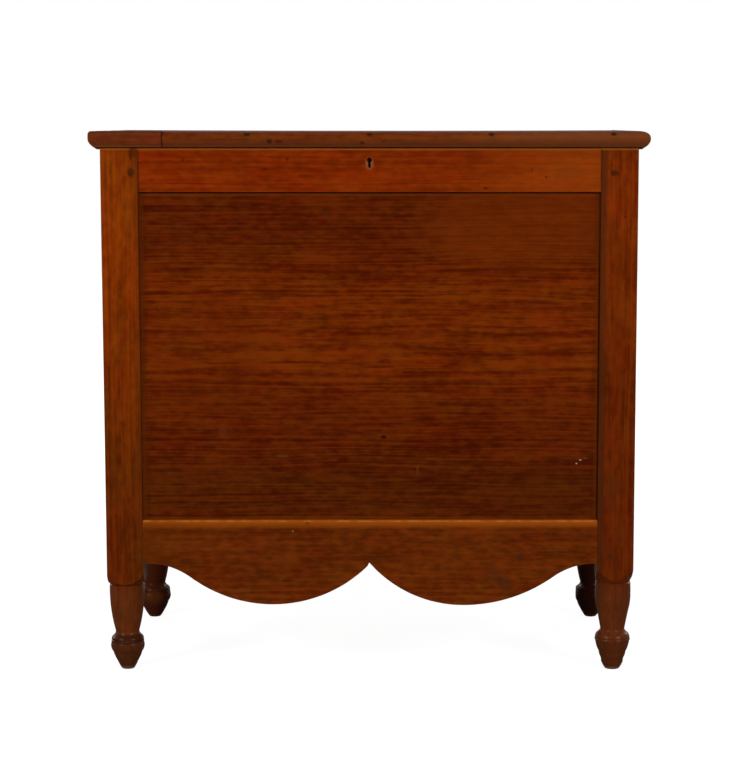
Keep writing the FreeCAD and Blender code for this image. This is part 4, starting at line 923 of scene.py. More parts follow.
# How far from the middle each half is lowest and where its hollow ends, the lobe's share of
# the two radii, and how much deeper than LOBE_DROP it hangs.
LOBES = {"left": (159.6 * MM, 366.0 * MM, 0.65, -0.4 * MM),
         "right": (153.0 * MM, 370.0 * MM, 0.68, 0.9 * MM)}
APRON_ARC_STEPS = 22
APRON_SLICE = 30 * MM
TOP_ROUND, TOP_KNOCKS = 3.2 * MM, (0.8 * MM, 28 * MM)
SAWN_ROUND, SAWN_KNOCKS = 0.9 * MM, (0.3 * MM, 24 * MM)


def bow_from_radius(start, end, radius):
    """How far an arc of a radius bows over the chord between two points."""
    half = (end - start).length / 2
    return radius - math.sqrt(radius * radius - half * half)


def lobe_outline(centre, ogee_end, share, deeper):
    """Half of the apron's outline, from the cusp to the top corner, drawn to the right."""
    drop = LOBE_DROP + deeper
    low = RAIL_BOTTOM - drop
    run = ogee_end - centre
    turn_angle = 2 * math.atan(drop / run)
    reach = run / math.sin(turn_angle)
    lobe_radius = share * reach
    bottom = Vector((centre, low))
    turn = bottom + Vector((math.sin(turn_angle), 1 - math.cos(turn_angle))) * lobe_radius
    end = Vector((ogee_end, RAIL_BOTTOM))
    inner = (bottom - CUSP).length ** 2 / (2 * (CUSP.y - low))
    points = []
    for start, stop, radius, way in ((CUSP, bottom, inner, 1), (bottom, turn, lobe_radius, 1),
                                     (turn, end, reach - lobe_radius, -1)):
        points += arc_between(start, stop, way * bow_from_radius(start, stop, radius), APRON_ARC_STEPS)
    return points + [end, Vector((SPAN_X, RAIL_BOTTOM)), Vector((SPAN_X, OPENING_BOTTOM))]


right_half = lobe_outline(*LOBES["right"])
left_half = lobe_outline(*LOBES["left"])
left_half = [Vector((-point.x, point.y)) for point in left_half[1:]]
bm = drawn_out([(point.x, -HALF_DEPTH, point.y) for point in right_half + left_half[::-1]],
               (0, RAIL_THICKNESS, 0))
slice_along(bm, 0, APRON_SLICE)
on_front = short_of(INWARD["front"], -HALF_DEPTH + 0.1 * MM)


def apron_top(edge):
    return on_front(edge) and all(vert.co.z > OPENING_BOTTOM - 0.1 * MM for vert in edge.verts)


def apron_sawn(edge):
    return on_front(edge) and not apron_top(edge) and min(
        vert.co.z for vert in edge.verts) < RAIL_BOTTOM + 0.1 * MM


rub(bm, ease(bm, TOP_ROUND, apron_top, segments=4), *TOP_KNOCKS)
rub(bm, ease(bm, SAWN_ROUND, apron_sawn), *SAWN_KNOCKS)
paint_raw(bm, unvarnished("front", bottom_too=False))
# The first tint is the band along the top arris: its wear, and a painted highlight on it.
APRON_TINTS = (("Z", 0.238, 0.252, "#984A0C", 0.8), ("X", -0.25, -0.37, "#5A2804", 0.3))
APRON_MARKS = front_marks(
    -HALF_DEPTH, 0.01,
    (-0.127, 0.2366, 0.002, 0.002, "#A8641F", 0.8),
    (-0.103, 0.2491, 0.004, 0.003, "#4A1C06", 0.6),
    (0.20, 0.163, 0.02, 0.022, "#46200B", 0.45),
    (0.222, 0.150, 0.016, 0.02, "#41200E", 0.4),
    (0.245, 0.196, 0.012, 0.008, "#43200E", 0.45),
)
apron_wood = cherry(
    "varnished_cherry_apron", "x", (0.3, 0.262, -0.19), "#713106", "#4E1E02",
    figure={"flecks": 0.34, "streaks": 0.2}, tints=APRON_TINTS, marks=APRON_MARKS, arris_colour="#AA5C20")
finish(bm, "apron_front_wood", "case", apron_wood, "cherry_rails", "apron_front")

# %% [markdown]
# Panels. Each is a thin wide board that floats in grooves, flat outside and with a raised,
# bevelled field inside. Two insets make the field: one leaves the flat border that goes into
# the groove, and the next is lifted as it narrows, which slopes the bevel. The front panel
# was cut beside the heart, so its middle has long wandering arches and its edges
# run in straight lines. The pith is put behind that middle.

# %% Panels
PANEL_TONGUE = 7 * MM
PANEL_BORDER = 11 * MM
PANEL_BEVEL = 24 * MM
PANEL_FACE = -0.211
PANEL_COLOURS = ("#7A3203", "#501600")
# Painted shade: the panels get darker towards their top and towards their bottom.
PANEL_SHADES = (
    ("Z", 0.52, 0.42, "#E0DCFF", 1.0),
    ("Z", 0.40, 0.30, "#E3F8FF", 1.0),
    ("Z", 0.62, 0.72, "#DAD6FF", 1.0),
)
CRACK = "#3A0F02"
CHIP = "#C8B69C"
# The last few millimetres before the groove are painted lighter, as painted light against the shade of
# the recess, and a thin dark line runs along the joint.
GROOVE_DARK_LINE = "#1C0903"
GROOVE_PAINTED_LIGHT = "#A24A0E"
GROOVE_EDGE = (
    ("Z", OPENING_TOP - 8 * MM, OPENING_TOP - 4 * MM, GROOVE_PAINTED_LIGHT, 0.3),
    ("Z", OPENING_TOP - 2 * MM, OPENING_TOP - 0.8 * MM, GROOVE_DARK_LINE, 0.8),
    ("X", 9 * MM - SPAN_X, 4 * MM - SPAN_X, GROOVE_PAINTED_LIGHT, 0.28),
    ("X", SPAN_X - 9 * MM, SPAN_X - 4 * MM, GROOVE_PAINTED_LIGHT, 0.25),
    ("X", SPAN_X - 2.6 * MM, SPAN_X - 1.2 * MM, GROOVE_DARK_LINE, 0.8),
    # Painted light near the bottom groove too.
    ("Z", OPENING_BOTTOM + 7 * MM, OPENING_BOTTOM + 3 * MM, "#8A3E0C", 0.15),
)
# Broad clouds of colour, then dents, scratches and chips, more clouds, and fine cracks.
FRONT_MARKS = (
    *front_marks(PANEL_FACE, 0.05, (0.25, 0.745, 0.20, 0.11, "#782F04", 0.4)),
    *front_marks(
        PANEL_FACE, 0.02,
        (0.0228, 0.3908, 0.0055, 0.0045, "#210A04", 0.85),
        (-0.0719, 0.7540, 0.006, 0.0045, "#3A2418", 0.7),
        (-0.241, 0.402, 0.009, 0.014, "#6E3312", 0.35),
        (0.0776, 0.336, 0.0035, 0.012, "#74441E", 0.2),
        (-0.143, 0.359, 0.014, 0.0025, "#6E3F1C", 0.4),
        (0.3375, 0.3470, 0.0021, 0.0015, CHIP, 0.7),
        (0.3436, 0.3522, 0.0026, 0.0016, CHIP, 0.75),
        (0.3510, 0.3562, 0.0036, 0.0011, "#8A6248", 0.5)),
    *front_marks(
        PANEL_FACE, 0.05,
        (-0.27, 0.53, 0.16, 0.13, "#5A1E02", 0.22),
        (0.28, 0.30, 0.14, 0.07, "#4A1A02", 0.22)),
    *front_marks(
        PANEL_FACE, 0.02,
        (-0.241, 0.5122, 0.052, 0.0019, CRACK, 0.55),
        (-0.120, 0.5134, 0.078, 0.0021, CRACK, 0.6),
        (0.016, 0.5060, 0.030, 0.0022, CRACK, 0.5),
        (0.079, 0.5030, 0.040, 0.0022, CRACK, 0.5),
        (-0.075, 0.5502, 0.072, 0.0026, CRACK, 0.4),
        (0.0515, 0.696, 0.026, 0.0018, CRACK, 0.5)),
)


def panel(side, wood):
    """A panel: flat face out, raised and bevelled field in."""
    node = f"panel_{side}"
    low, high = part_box(node)
    inward = INWARD[side]
    depth = abs((high - low).dot(inward))
    slab_low, slab_high = low.copy(), high.copy()
    for axis in range(2):
        if inward[axis] > 0:
            slab_high[axis] = low[axis] + PANEL_TONGUE
        elif inward[axis] < 0:
            slab_low[axis] = high[axis] - PANEL_TONGUE
    bm = board(slab_low, slab_high)
    field = [face for face in bm.faces if face.normal.dot(inward) > 0.9]
    for thickness, lift in ((PANEL_BORDER, 0), (PANEL_BEVEL, depth - PANEL_TONGUE)):
        bmesh.ops.inset_region(bm, faces=field, thickness=thickness, depth=lift, use_even_offset=True)
    paint_raw(bm, lambda middle, normal: normal.dot(inward) > 0.5)
    finish(bm, f"{node}_wood", "case", wood, "cherry_panels", node)


PANEL_FIGURE = {"rings": 0.28, "fibres": 0.2, "flecks": 0.28}
front_wood = cherry(
    "varnished_cherry_panel_front", "x", (0.35, 0.150, -0.524), *PANEL_COLOURS, ring=4.5 * MM,
    bend=8 * MM, figure=PANEL_FIGURE, shades=PANEL_SHADES, tints=GROOVE_EDGE, marks=FRONT_MARKS)
panel("front", front_wood)
for side in ("back", "left", "right"):
    panel(side, cherry(
        f"varnished_cherry_panel_{side}", grain_of(side), pith_beside(f"panel_{side}", 120 * MM),
        *PANEL_COLOURS, figure=PANEL_FIGURE, shades=PANEL_SHADES))

# %% [markdown]
# Pegs pin every tenon. They are riven square, driven into round holes and pared off, so
# their ends stand a hair proud and show dark end grain. Each is a short cone with few
# sides that hardly tapers, turned to its face, with an eased rim.

# %% Pegs
PEG_RADIUS = 3.75 * MM
# A peg's ends are a little smaller than its bore.
PEG_TAPER = {"radius1": PEG_RADIUS * 0.97, "radius2": PEG_RADIUS * 0.93}
PEG_LENGTH = 34 * MM
PEG_RIM = 0.35 * MM
PEG_GRAIN = 1.5 * MM


def end_grain(name, marks):
    """Dark end grain: it drank more varnish than the faces. Rings of a twig's size."""
    material, tree = fresh(name)
    place = put(tree, "TexCoord").outputs["Object"]
    speckle = put(tree, "TexNoise", {"Vector": place, "Scale": 1 / PEG_GRAIN, "Detail": 3.0})
    tone = put(tree, "MapRange", {0: speckle, 1: 0.35, 2: 0.65}, **SOFT)
    colour = put(tree, "Mix", {0: tone, 6: "#34140A", 7: "#56260C"}, **COLOURS)
    colour = mark_steps(tree, place, colour, marks)
    roughness = put(tree, "MapRange", {0: speckle, 1: 0.3, 2: 0.7, 3: 0.42, 4: 0.62}, **SOFT)
    surface(tree, {"Strength": 0.4, "Distance": 0.2 * MM, "Height": speckle}, {
        "Base Color": colour, "Roughness": roughness, "IOR": WOOD_IOR, "Specular IOR Level": 0.04})
    return material


HIDDEN_PEG = (((-0.383, -0.22, 0.1935), (0.01, 0.01, 0.01), "#5A2406", 0.85),)
# The front's pegs were bored a little right of the middle, the lower ones also a little low.
FRONT_PEG_SHIFT = Vector((3.9, 0, 0)) * MM
LOW_PEG_SHIFT = Vector((0.3, 0, -3.4)) * MM
peg_wood = end_grain("oak_peg_end_grain", HIDDEN_PEG)
PEG_TURN = {
    "front": Matrix.Rotation(math.pi / 2, 3, "X"),
    "back": Matrix.Rotation(-math.pi / 2, 3, "X"),
    "left": Matrix.Rotation(-math.pi / 2, 3, "Y"),
    "right": Matrix.Rotation(math.pi / 2, 3, "Y"),
}
for side, inward in INWARD.items():
    low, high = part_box(f"pegs_{side}")
    along = ALONG[grain_of(side)]
    reach = high.dot(along) - PEG_RADIUS
    outer = min(low.dot(inward), high.dot(inward))
    pegs = begin()
    for end in (-1, 1):
        for up in (low.z + PEG_RADIUS, high.z - PEG_RADIUS):
            made = bmesh.ops.create_cone(
                pegs, cap_ends=True, segments=14, depth=PEG_LENGTH, **PEG_TAPER)["verts"]
            bmesh.ops.rotate(pegs, verts=made, matrix=PEG_TURN[side])
            middle = along * end * reach + inward * (outer + PEG_LENGTH / 2) + Vector((0, 0, up))
            if side == "front":
                middle += FRONT_PEG_SHIFT + (LOW_PEG_SHIFT if up < OPENING_BOTTOM else Vector())
            bmesh.ops.translate(pegs, verts=made, vec=middle)
    ease(pegs, PEG_RIM, short_of(inward, outer + 0.05 * MM))
    finish(pegs, f"pegs_{side}_wood", "case", peg_wood, "peg_wood", f"pegs_{side}")

# %% [markdown]
# Inside the bin: three loose boards on nailed strips, and a divider that slides in
# grooved strips. The boards are notched round the posts. A notch is the post's own box,
# a little larger, so the gap is even.

# %% Floor, strips and divider
BOARD_GAP = 0.8 * MM
DIVIDER_FIT = 0.3 * MM
BOARD_ARRIS = 0.6 * MM
CLEAT_ARRIS = 0.5 * MM
DIVIDER_ARRIS = 1.2 * MM
posts = [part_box(node) for node in FEET]


def grown(low, high, by):
    """A box made larger by three distances."""
    by = Vector(by)
    return Vector(low) - by, Vector(high) + by


def inside_board(node, grain, arris, *tools):
    """A poplar board or strip, eased and carved."""
    bm = board(*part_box(node))
    ease(bm, arris)
    if tools:
        bm = carve(bm, *tools)
    wood = poplar(f"bare_poplar_{node}", grain, pith_beside(node))
    finish(bm, f"{node}_wood", "case", wood, "poplar_inside", node)


def notches(node):
    """The posts' boxes that a floor board has to clear."""
    low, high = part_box(node)
    return [board(*grown(first, second, (BOARD_GAP,) * 3)) for first, second in posts
            if first.x < high.x and second.x > low.x]


for node in ("bottom_board_left", "bottom_board_middle", "bottom_board_right"):
    inside_board(node, "y", BOARD_ARRIS, *notches(node))
for side in INWARD:
    inside_board(f"bottom_cleat_{side}", grain_of(side), CLEAT_ARRIS)
groove_low, groove_high = grown(*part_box("divider"), (DIVIDER_FIT, DIVIDER_FIT, 0))
for side in ("front", "back"):
    groove = board(*grown(groove_low, groove_high, (0, 0, OVERRUN)))
    inside_board(f"divider_cleat_{side}", "z", BOARD_ARRIS, groove)
inside_board("divider", "y", DIVIDER_ARRIS)

# %% [markdown]
# The lid is two boards edge to edge, with a moulding nailed round the front and the ends.
# The moulding is a section drawn once and swept along each side: a small round at the top,
# a full belly, and a slope back to the board. At the corners it is mitred, and a mitre is
# a bisect plane at 45 degrees. The left end of the front is a separate length, as
# in the photograph, and the seam shows as a hair's gap with dirt in it.

# %% Lid moulding
lid_low, lid_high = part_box("lid_board_front")
LID_BOTTOM = lid_low.z
LID_THICKNESS = lid_high.z - lid_low.z
BOARD_HALF = -lid_low.x
BOARD_FRONT = lid_low.y
LID_HALF = -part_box("lid_moulding_left")[0].x
LID_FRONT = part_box("lid_moulding_front")[0].y
LID_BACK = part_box("lid_board_back")[1].y
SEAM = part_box("lid_moulding_patch")[1].x
# Each of the two lengths of the front moulding ends this far short of the seam.
SEAM_GAP = 0.15 * MM
SIDE_LIP = LID_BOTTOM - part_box("lid_moulding_left")[0].z
FRONT_LIFT = 1.0 * MM
MOULDING_SLICE = 25 * MM
# Out from the board and up from the lid's underside, in millimetres, with the bow outwards.
SOFT_TOP = (
    (6.2, -0.2, 0.2), (11.5, 4.0, 0.3), (14.9, 9.4, 0.25), (15.84, 13.6, 0.15),
    (15.7, 17.6, 0.25), (13.6, 21.5, 0.35), (9.4, 24.7, 0.35), (2.0, 26.5, 0),
)
CRISP_TOP = (*SOFT_TOP[:4], (15.78, 20.6, 0.4), (14.9, 24.2, 0.5), (12.2, 26.25, 0.2), (9.0, 26.53, 0))
# How many millimetres the slope at the moulding's foot would run down to meet the board.
MOULDING_FOOT = 5.6
# Where the lid has sunk most, how far that reaches on either side, and how deep it is.
SAG_MIDDLE = 40 * MM
SAG_REACH = 480 * MM
SAG_DEPTH = 1.3 * MM
# How deep the old knocks on each length go, and how far apart they are.
PATCH_KNOCKS = (0.7 * MM, 30 * MM)
FRONT_KNOCKS = (0.6 * MM, 40 * MM)
SIDE_KNOCKS = (0.6 * MM, 35 * MM)


def moulding_outline(rows, drop):
    """The section from its foot, which lies a drop below the lid's underside, to the top."""
    drop = drop / MM
    toe = (rows[0][0] * (MOULDING_FOOT - drop) / MOULDING_FOOT, -drop, 0)
    foot = [(0, -drop, 0), toe, *rows] if drop > 0 else [(0, -drop, 0), toe, *rows[1:]]
    return smooth_outline([*foot, (0, LID_THICKNESS / MM, 0)])


def sag(place):
    """The lid has sunk a little in its middle, more to the right than to the left."""
    return SAG_DEPTH * max(0.0, 1 - ((place.x - SAG_MIDDLE) / SAG_REACH) ** 2)


def sink(bm):
    """Lowers the upper half of a piece of the lid by its sag."""
    for vert in bm.verts:
        if vert.co.z > LID_BOTTOM + LID_THICKNESS / 2:
            vert.co.z -= sag(vert.co)


def moulding(rows, origin, outward, run, length, drop, corner, mitre):
    """A swept section. outward is the way out from the board, and run the way along it."""
    bm = drawn_out([origin + outward * point.x + Vector((0, 0, point.y))
                    for point in moulding_outline(rows, drop)], run * length)
    slice_off(bm, corner, mitre)
    slice_along(bm, 0 if abs(run.x) > 0.5 else 1, MOULDING_SLICE)
    paint_raw(bm, lambda middle, normal: normal.z < -0.95 or normal.dot(outward) < -0.7)
    return bm


def knock(bm, depth, size):
    """Uneven wear over a whole moulding, inwards only, and none where it meets the board."""
    bm.normal_update()
    for vert in bm.verts:
        out = max(abs(vert.co.x) - BOARD_HALF, BOARD_FRONT - vert.co.y)
        if out > MM and vert.co.z > LID_BOTTOM + 3 * MM:
            vert.co -= vert.normal * max(0.0, noise.noise(vert.co / size)) * depth


print("seam at", round(SEAM, 4), "moulding", round((LID_HALF - BOARD_HALF) / MM), "mm wide")

# %% [markdown]
# The moulding's finish. It is browner and duller than the case. A painted shade darkens the
# wood under its belly, a painted shadow line runs along its top, painted light brightens its
# lowest edge, and each nail has left a stain round its head.

# %% Finish of the moulding
def lid_wood(name, grain, light, dark, tints=(), marks=(), flecks=0.4):
    """The lid's cherry: browner than the case and duller, from light, hands and cleaning."""
    return cherry(f"varnished_cherry_{name}", grain, pith_beside(name, 60 * MM), light, dark, gloss=0.03,
                  figure={"flecks": flecks, "streaks": 0.25}, tints=tints, marks=marks, arris_colour="#8E5A33")


# Painted shade under the belly of the moulding.
BELLY_SHADE = ("Z", LID_BOTTOM + 15 * MM, LID_BOTTOM + 10 * MM, "#6A3418", 0.55)
# A painted shadow line runs along the top of the moulding, and painted light brightens its lowest edge.
TOP_SHADE_LINE = ("Z", LID_BOTTOM + 23.6 * MM, LID_BOTTOM + 25.6 * MM, "#2C1208", 0.75)
# Painted light on the lowest edge, where the moulding turns under.
LOW_PAINTED_LIGHT = ("Z", LID_BOTTOM + 6 * MM, LID_BOTTOM + 2.5 * MM, "#95522A", 0.4)
SEAM_DIRT = "#1E0A04"
RIGHT_SHADE = ("X", 0.05, 0.35, "#7C4522", 0.5)
LID_COLOURS = ("#75340E", "#5A2508")
NAIL_STEPS = (-1, 0, 1, 2)
# Stains round the nails, and smears of old polish on the belly.
LID_MARKS = front_marks(
    -0.236, 0.012, *((step * 0.195, 0.882, 0.0072, 0.0042, "#241006", 0.85) for step in NAIL_STEPS),
) + front_marks(
    -0.235, 0.03,
    (-0.1590, 0.8711, 0.0060, 0.0052, "#32160A", 0.8),
    (-0.1440, 0.8705, 0.0085, 0.004, "#38180A", 0.7),
    (-0.0110, 0.8680, 0.005, 0.0035, "#32160A", 0.75),
    (0.0240, 0.8705, 0.006, 0.004, "#4A2410", 0.5),
)
CORNER_LEFT = Vector((-BOARD_HALF, BOARD_FRONT, 0))
CORNER_RIGHT = Vector((BOARD_HALF, BOARD_FRONT, 0))
MITRE_LEFT = Vector((-1, 1, 0)).normalized()
MITRE_RIGHT = Vector((1, 1, 0)).normalized()
front_out = -ALONG["y"]
to_right = ALONG["x"]
front_base = Vector((0, BOARD_FRONT, LID_BOTTOM))

patch = moulding(CRISP_TOP, front_base - to_right * LID_HALF, front_out, to_right,
                 SEAM + LID_HALF - SEAM_GAP, -FRONT_LIFT, CORNER_LEFT, MITRE_LEFT)
knock(patch, *PATCH_KNOCKS)
patch_tints = (LOW_PAINTED_LIGHT, LOW_PAINTED_LIGHT, TOP_SHADE_LINE, ("X", SEAM - 1.4 * MM, SEAM - 0.4 * MM, SEAM_DIRT, 0.8))
finish(patch, "lid_moulding_patch_wood", "lid",
       lid_wood("patch", "x", "#783714", "#5E280D", patch_tints), "cherry_lid", "lid_moulding_patch")
strip = moulding(SOFT_TOP, front_base + to_right * (SEAM + SEAM_GAP), front_out, to_right,
                 LID_HALF - SEAM - SEAM_GAP, -FRONT_LIFT, CORNER_RIGHT, MITRE_RIGHT)
sink(strip)
knock(strip, *FRONT_KNOCKS)
strip_tints = (RIGHT_SHADE, BELLY_SHADE, LOW_PAINTED_LIGHT, TOP_SHADE_LINE,
               ("X", SEAM + 1.4 * MM, SEAM + 0.4 * MM, SEAM_DIRT, 0.8))
finish(strip, "lid_moulding_front_wood", "lid",
       lid_wood("front_strip", "x", "#74340B", "#572303", strip_tints, LID_MARKS),
       "cherry_lid", "lid_moulding_front")
for name, end, rows, corner, mitre in (("left", -1, CRISP_TOP, CORNER_LEFT, -MITRE_LEFT),
                                       ("right", 1, SOFT_TOP, CORNER_RIGHT, -MITRE_RIGHT)):
    base = Vector((end * BOARD_HALF, LID_FRONT, LID_BOTTOM))
    strip = moulding(rows, base, ALONG["x"] * end, ALONG["y"], LID_BACK - LID_FRONT, SIDE_LIP,
                     corner, mitre)
    knock(strip, *SIDE_KNOCKS)
    node = f"lid_moulding_{name}"
    wood = lid_wood(node, "y", *LID_COLOURS, (BELLY_SHADE,))
    finish(strip, f"{node}_wood", "lid", wood, "cherry_lid", node)

# %% [markdown]
# The boards of the lid are carved underneath: a shallow recess for each hinge leaf, a deeper
# notch for the knuckles, and a recess for the link plate that the lock's bolt catches.
# Their upper faces are varnished, and the underside is bare.

# %% Lid boards
LID_ARRIS = 0.6 * MM
LID_SLICE = 45 * MM
BARREL_ROOM = 4.3 * MM


def lid_recesses(name):
    """What a hinge takes out of the lid: the leaf's recess and the knuckles' notch."""
    low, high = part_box(f"hinge_{name}_lid_leaf")
    side_low, side_high = low.x - JOINER_FIT, high.x + JOINER_FIT
    leaf = board((side_low, low.y - JOINER_FIT, LID_BOTTOM - OVERRUN),
                 (side_high, HINGE_LINE.y, LID_BOTTOM + LEAF_THICKNESS))
    barrel = board((side_low, HINGE_LINE.y - BARREL_ROOM, LID_BOTTOM - OVERRUN),
                   (side_high, HINGE_LINE.y + BARREL_ROOM, HINGE_LINE.z + BARREL_ROOM))
    return [leaf, barrel]


def lid_board(node, tools):
    """A board of the lid, bare below."""
    bm = board(*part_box(node))
    slice_along(bm, 0, LID_SLICE)
    sink(bm)
    ease(bm, LID_ARRIS, lambda edge: min(vert.co.z for vert in edge.verts) > LID_BOTTOM + MM)
    paint_raw(bm, lambda middle, normal: normal.z < -0.9)
    bm = carve(bm, *tools)
    wood = lid_wood(node, "x", *LID_COLOURS, flecks=0.18)
    finish(bm, f"{node}_wood", "lid", wood, "cherry_lid", node)


link_low, link_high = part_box("lid_link_plate")
link_recess = board((link_low.x, link_low.y, LID_BOTTOM - OVERRUN), link_high)
lid_board("lid_board_front", [link_recess])
lid_board("lid_board_back", lid_recesses("left") + lid_recesses("right"))

# %% [markdown]
# The moulding is held by cut nails. Their heads were punched in and the holes stopped, and
# what shows is a small dark square on the upper round. Each is a flat cube laid on the
# slope of the moulding, with eased corners.

# %% Nail heads
NAIL_RISE = 21.2 * MM
NAIL_OUT = 12.1 * MM
NAIL_SIZE = Vector((4.8, 1.6, 4.6)) * MM
NAIL_TILT = math.radians(38)
NAIL_ARRIS = 0.4 * MM
LAST_NAIL = 59 * MM
SIDE_NAILS = 3
SIDE_NAIL_INSET = 87 * MM


def nail_head(bm, place, outward, seed):
    """One nail head on the slope of the moulding."""
    chance = random.Random(seed)
    made = bmesh.ops.create_cube(bm, size=1)["verts"]
    bmesh.ops.scale(bm, vec=NAIL_SIZE * chance.uniform(0.8, 1.1), verts=made)
    turn = Matrix.Rotation(chance.uniform(-0.3, 0.3), 3, "Y")
    tilt = Matrix.Rotation(-NAIL_TILT, 3, "X")
    face = Matrix.Rotation(math.atan2(outward.x, -outward.y), 3, "Z")
    bmesh.ops.rotate(bm, verts=made, matrix=face @ tilt @ turn)
    bmesh.ops.translate(bm, verts=made, vec=place)


heads = begin()
for step in NAIL_STEPS:
    place = Vector((step * (LID_HALF - LAST_NAIL) / 2, BOARD_FRONT - NAIL_OUT, LID_BOTTOM + NAIL_RISE))
    place.z -= sag(place)
    nail_head(heads, place, front_out, step)
side_reach = LID_BACK - SIDE_NAIL_INSET
for end in (-1, 1):
    for index in range(SIDE_NAILS):
        along = -side_reach + 2 * side_reach * index / (SIDE_NAILS - 1)
        nail_head(heads, Vector((end * (BOARD_HALF + NAIL_OUT), along, LID_BOTTOM + NAIL_RISE)),
                  ALONG["x"] * end, 10 + index + end)
ease(heads, NAIL_ARRIS)
finish(heads, "moulding_nail_heads", "lid", nail_iron, "wrought_iron", "moulding_nails")

# %% [markdown]
# The hinges, the lock and the small nails keep the frame's own meshes: their shapes are
# exact, and only the finish is missing.

# %% Hinges, lock and nails
dress(hinge_iron, "hinge_left_case_leaf", "hinge_right_case_leaf", "hinge_left_lid_leaf",
      "hinge_right_lid_leaf", "hinge_pins", "hinge_case_screws", "hinge_lid_screws")
dress(lock_steel, "lock_case", "lock_cap", "lock_screws", "lock_key_pin", "lock_bolt",
      "lock_spring", "lid_link_plate", "link_screws")
dress(nail_iron, "cleat_nails")
print("finishes of the small parts", hinge_iron.name, lock_steel.name, nail_iron.name)

# %% [markdown]
# The floor is a sweep of white paper. To the camera part of its light is its own, so that it
# is white and the chest's shadow on it is faint, as in the photograph. For light that
# bounces it is plain paper near the chest, and dark further off, where the paper ends and the
# studio begins: that is why the flat front shows no grey veil.

# %% Floor
FLOOR_HALF = 9.0
PAPER_END = -0.55
STUDIO_START = -1.5
# Where the paper's glow starts to rise and where it is full, and its strength at both.
GLOW_REACH, GLOW = (0.6, 2.5), (0.9, 1.02)
# Where the white that gloss sees begins behind the chest, and where it is full.
BEHIND = (0.2, 1.2)
floor_mesh = bmesh.new()
bmesh.ops.create_grid(floor_mesh, x_segments=1, y_segments=1, size=FLOOR_HALF)
floor = as_object(floor_mesh, "floor")
paper, tree = fresh("matt_white_paper")
paths = put(tree, "LightPath").outputs
spot = put(tree, "TexCoord").outputs["Object"]
forward = put(tree, "SeparateXYZ", {0: spot}).outputs["Y"]
behind = put(tree, "MapRange", {0: forward, 1: BEHIND[0], 2: BEHIND[1]}, **SOFT)
mirrored = put(tree, "Math", {0: paths["Is Glossy Ray"], 1: behind}, operation="MULTIPLY")
seen = put(tree, "Math", {0: paths["Is Camera Ray"], 1: paths["Is Transmission Ray"]},
           operation="MAXIMUM")
seen = put(tree, "Math", {0: seen, 1: mirrored}, operation="MAXIMUM")
far_off = put(tree, "VectorMath", {0: spot}, operation="LENGTH")
brightness = put(tree, "MapRange", {
    0: far_off,
    1: GLOW_REACH[0],
    2: GLOW_REACH[1],
    3: GLOW[0],
    4: GLOW[1],
}, **SOFT)
glow = put(tree, "Emission", {"Color": (1, 1, 1, 1), "Strength": brightness})
lit = put(tree, "BsdfDiffuse", {"Color": (0.2, 0.2, 0.2, 1)})
both = put(tree, "AddShader", {0: lit, 1: glow})
near = put(tree, "MapRange", {0: forward, 1: STUDIO_START, 2: PAPER_END}, **SOFT)
paper_colour = put(tree, "Mix", {0: near, 6: "#2A2A2A", 7: "#B8B8B4"}, **COLOURS)
paper_colour = put(tree, "Mix", {0: paths["Is Glossy Ray"], 6: paper_colour, 7: "#606060"}, **COLOURS)
bounce = put(tree, "BsdfDiffuse", {"Color": paper_colour})
choice = put(tree, "MixShader", {0: seen, 1: bounce, 2: both})
put(tree, "OutputMaterial", {"Surface": choice})
floor.data.materials.append(paper)
print("floor", round(2 * FLOOR_HALF), "m wide")

# %% [markdown]
# Two large soft lamps stand left and right of the camera, above its height, as for
# furniture photographs: flat fronts then show no glare, and only turned parts carry small
# highlights. Two weaker ones behind the chest light its back and its open lid, and do not
# reach its front. The world fills in. It is white to the camera, and gloss shows it white
# behind the chest and dim in front of it, as a studio is behind the camera.

# %% Lamps and world
TARGET = Vector((0, -HALF_DEPTH, 0.5))
LAMP_SIZE = 1.6
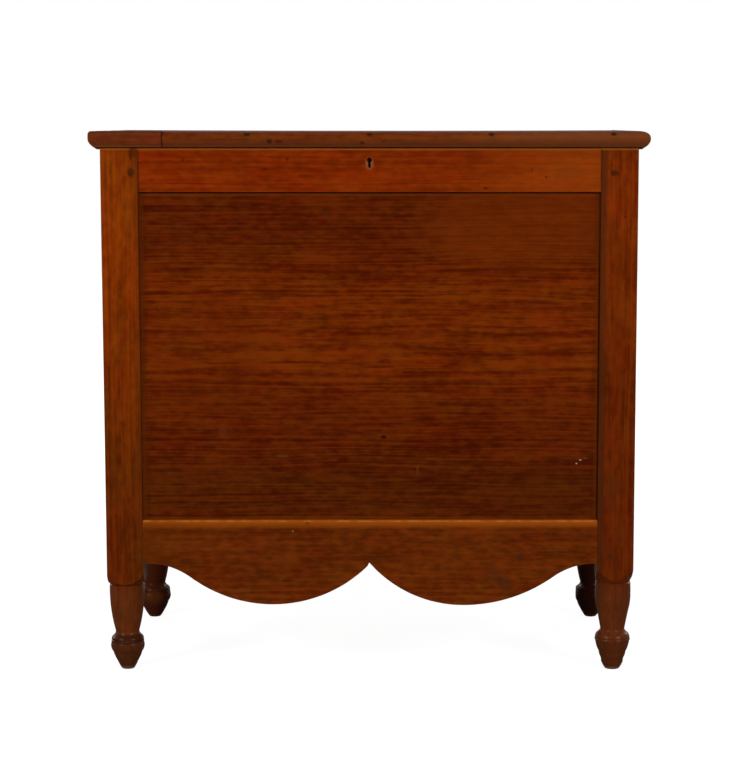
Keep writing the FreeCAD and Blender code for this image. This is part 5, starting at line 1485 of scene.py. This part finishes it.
# Each lamp's place in metres, and its power in watts.
LAMPS = {
    "left_softbox": ((-3.0, -3.3, 2.1), 118),
    "right_softbox": ((3.0, -3.3, 2.1), 96),
    "back_left_softbox": ((-2.8, 3.6, 2.4), 75),
    "back_right_softbox": ((2.8, 3.6, 2.4), 60),
}
for name, (place, power) in LAMPS.items():
    data = bpy.data.lights.new(name, "AREA")
    data.shape = "SQUARE"
    data.size = LAMP_SIZE
    data.energy = power
    lamp = bpy.data.objects.new(name, data)
    lamp.location = place
    lamp.rotation_euler = (TARGET - Vector(place)).to_track_quat("-Z", "Y").to_euler()
    lamp.visible_camera = False
    bpy.context.scene.collection.objects.link(lamp)
    print(name, power, "W")

# How bright gloss sees the world, in front of the chest and behind it, and how bright it lights.
DIM, BRIGHT, FILL = 0.01, 0.8, 0.30
world = bpy.data.worlds.new("studio")
bpy.context.scene.world = world
world.use_nodes = True
sky = world.node_tree
sky.nodes.clear()
paths = put(sky, "LightPath").outputs
direct = put(sky, "Math", {0: paths["Is Camera Ray"], 1: paths["Is Transmission Ray"]},
             operation="MAXIMUM")
towards = put(sky, "TexCoord").outputs["Generated"]
forward = put(sky, "SeparateXYZ", {0: towards}).outputs["Y"]
mirror = put(sky, "MapRange", {0: forward, 1: -0.1, 2: 0.5, 3: DIM, 4: BRIGHT}, **SOFT)
glossy = put(sky, "Math", {0: paths["Is Glossy Ray"], 1: mirror}, operation="MULTIPLY")
matt = put(sky, "Math", {0: 1.0, 1: paths["Is Glossy Ray"]}, operation="SUBTRACT")
fill = put(sky, "Math", {0: matt, 1: FILL}, operation="MULTIPLY")
light = put(sky, "Math", {0: glossy, 1: fill}, operation="ADD")
strength = put(sky, "Math", {0: direct, 1: light}, operation="MAXIMUM")
backdrop = put(sky, "Background", {"Color": (1, 1, 1, 1), "Strength": strength})
put(sky, "OutputWorld", {"Surface": backdrop})

# %% [markdown]
# Standard view transform: a colour of the shader is a colour of the picture.

# %% View
bpy.context.scene.view_settings.view_transform = "Standard"
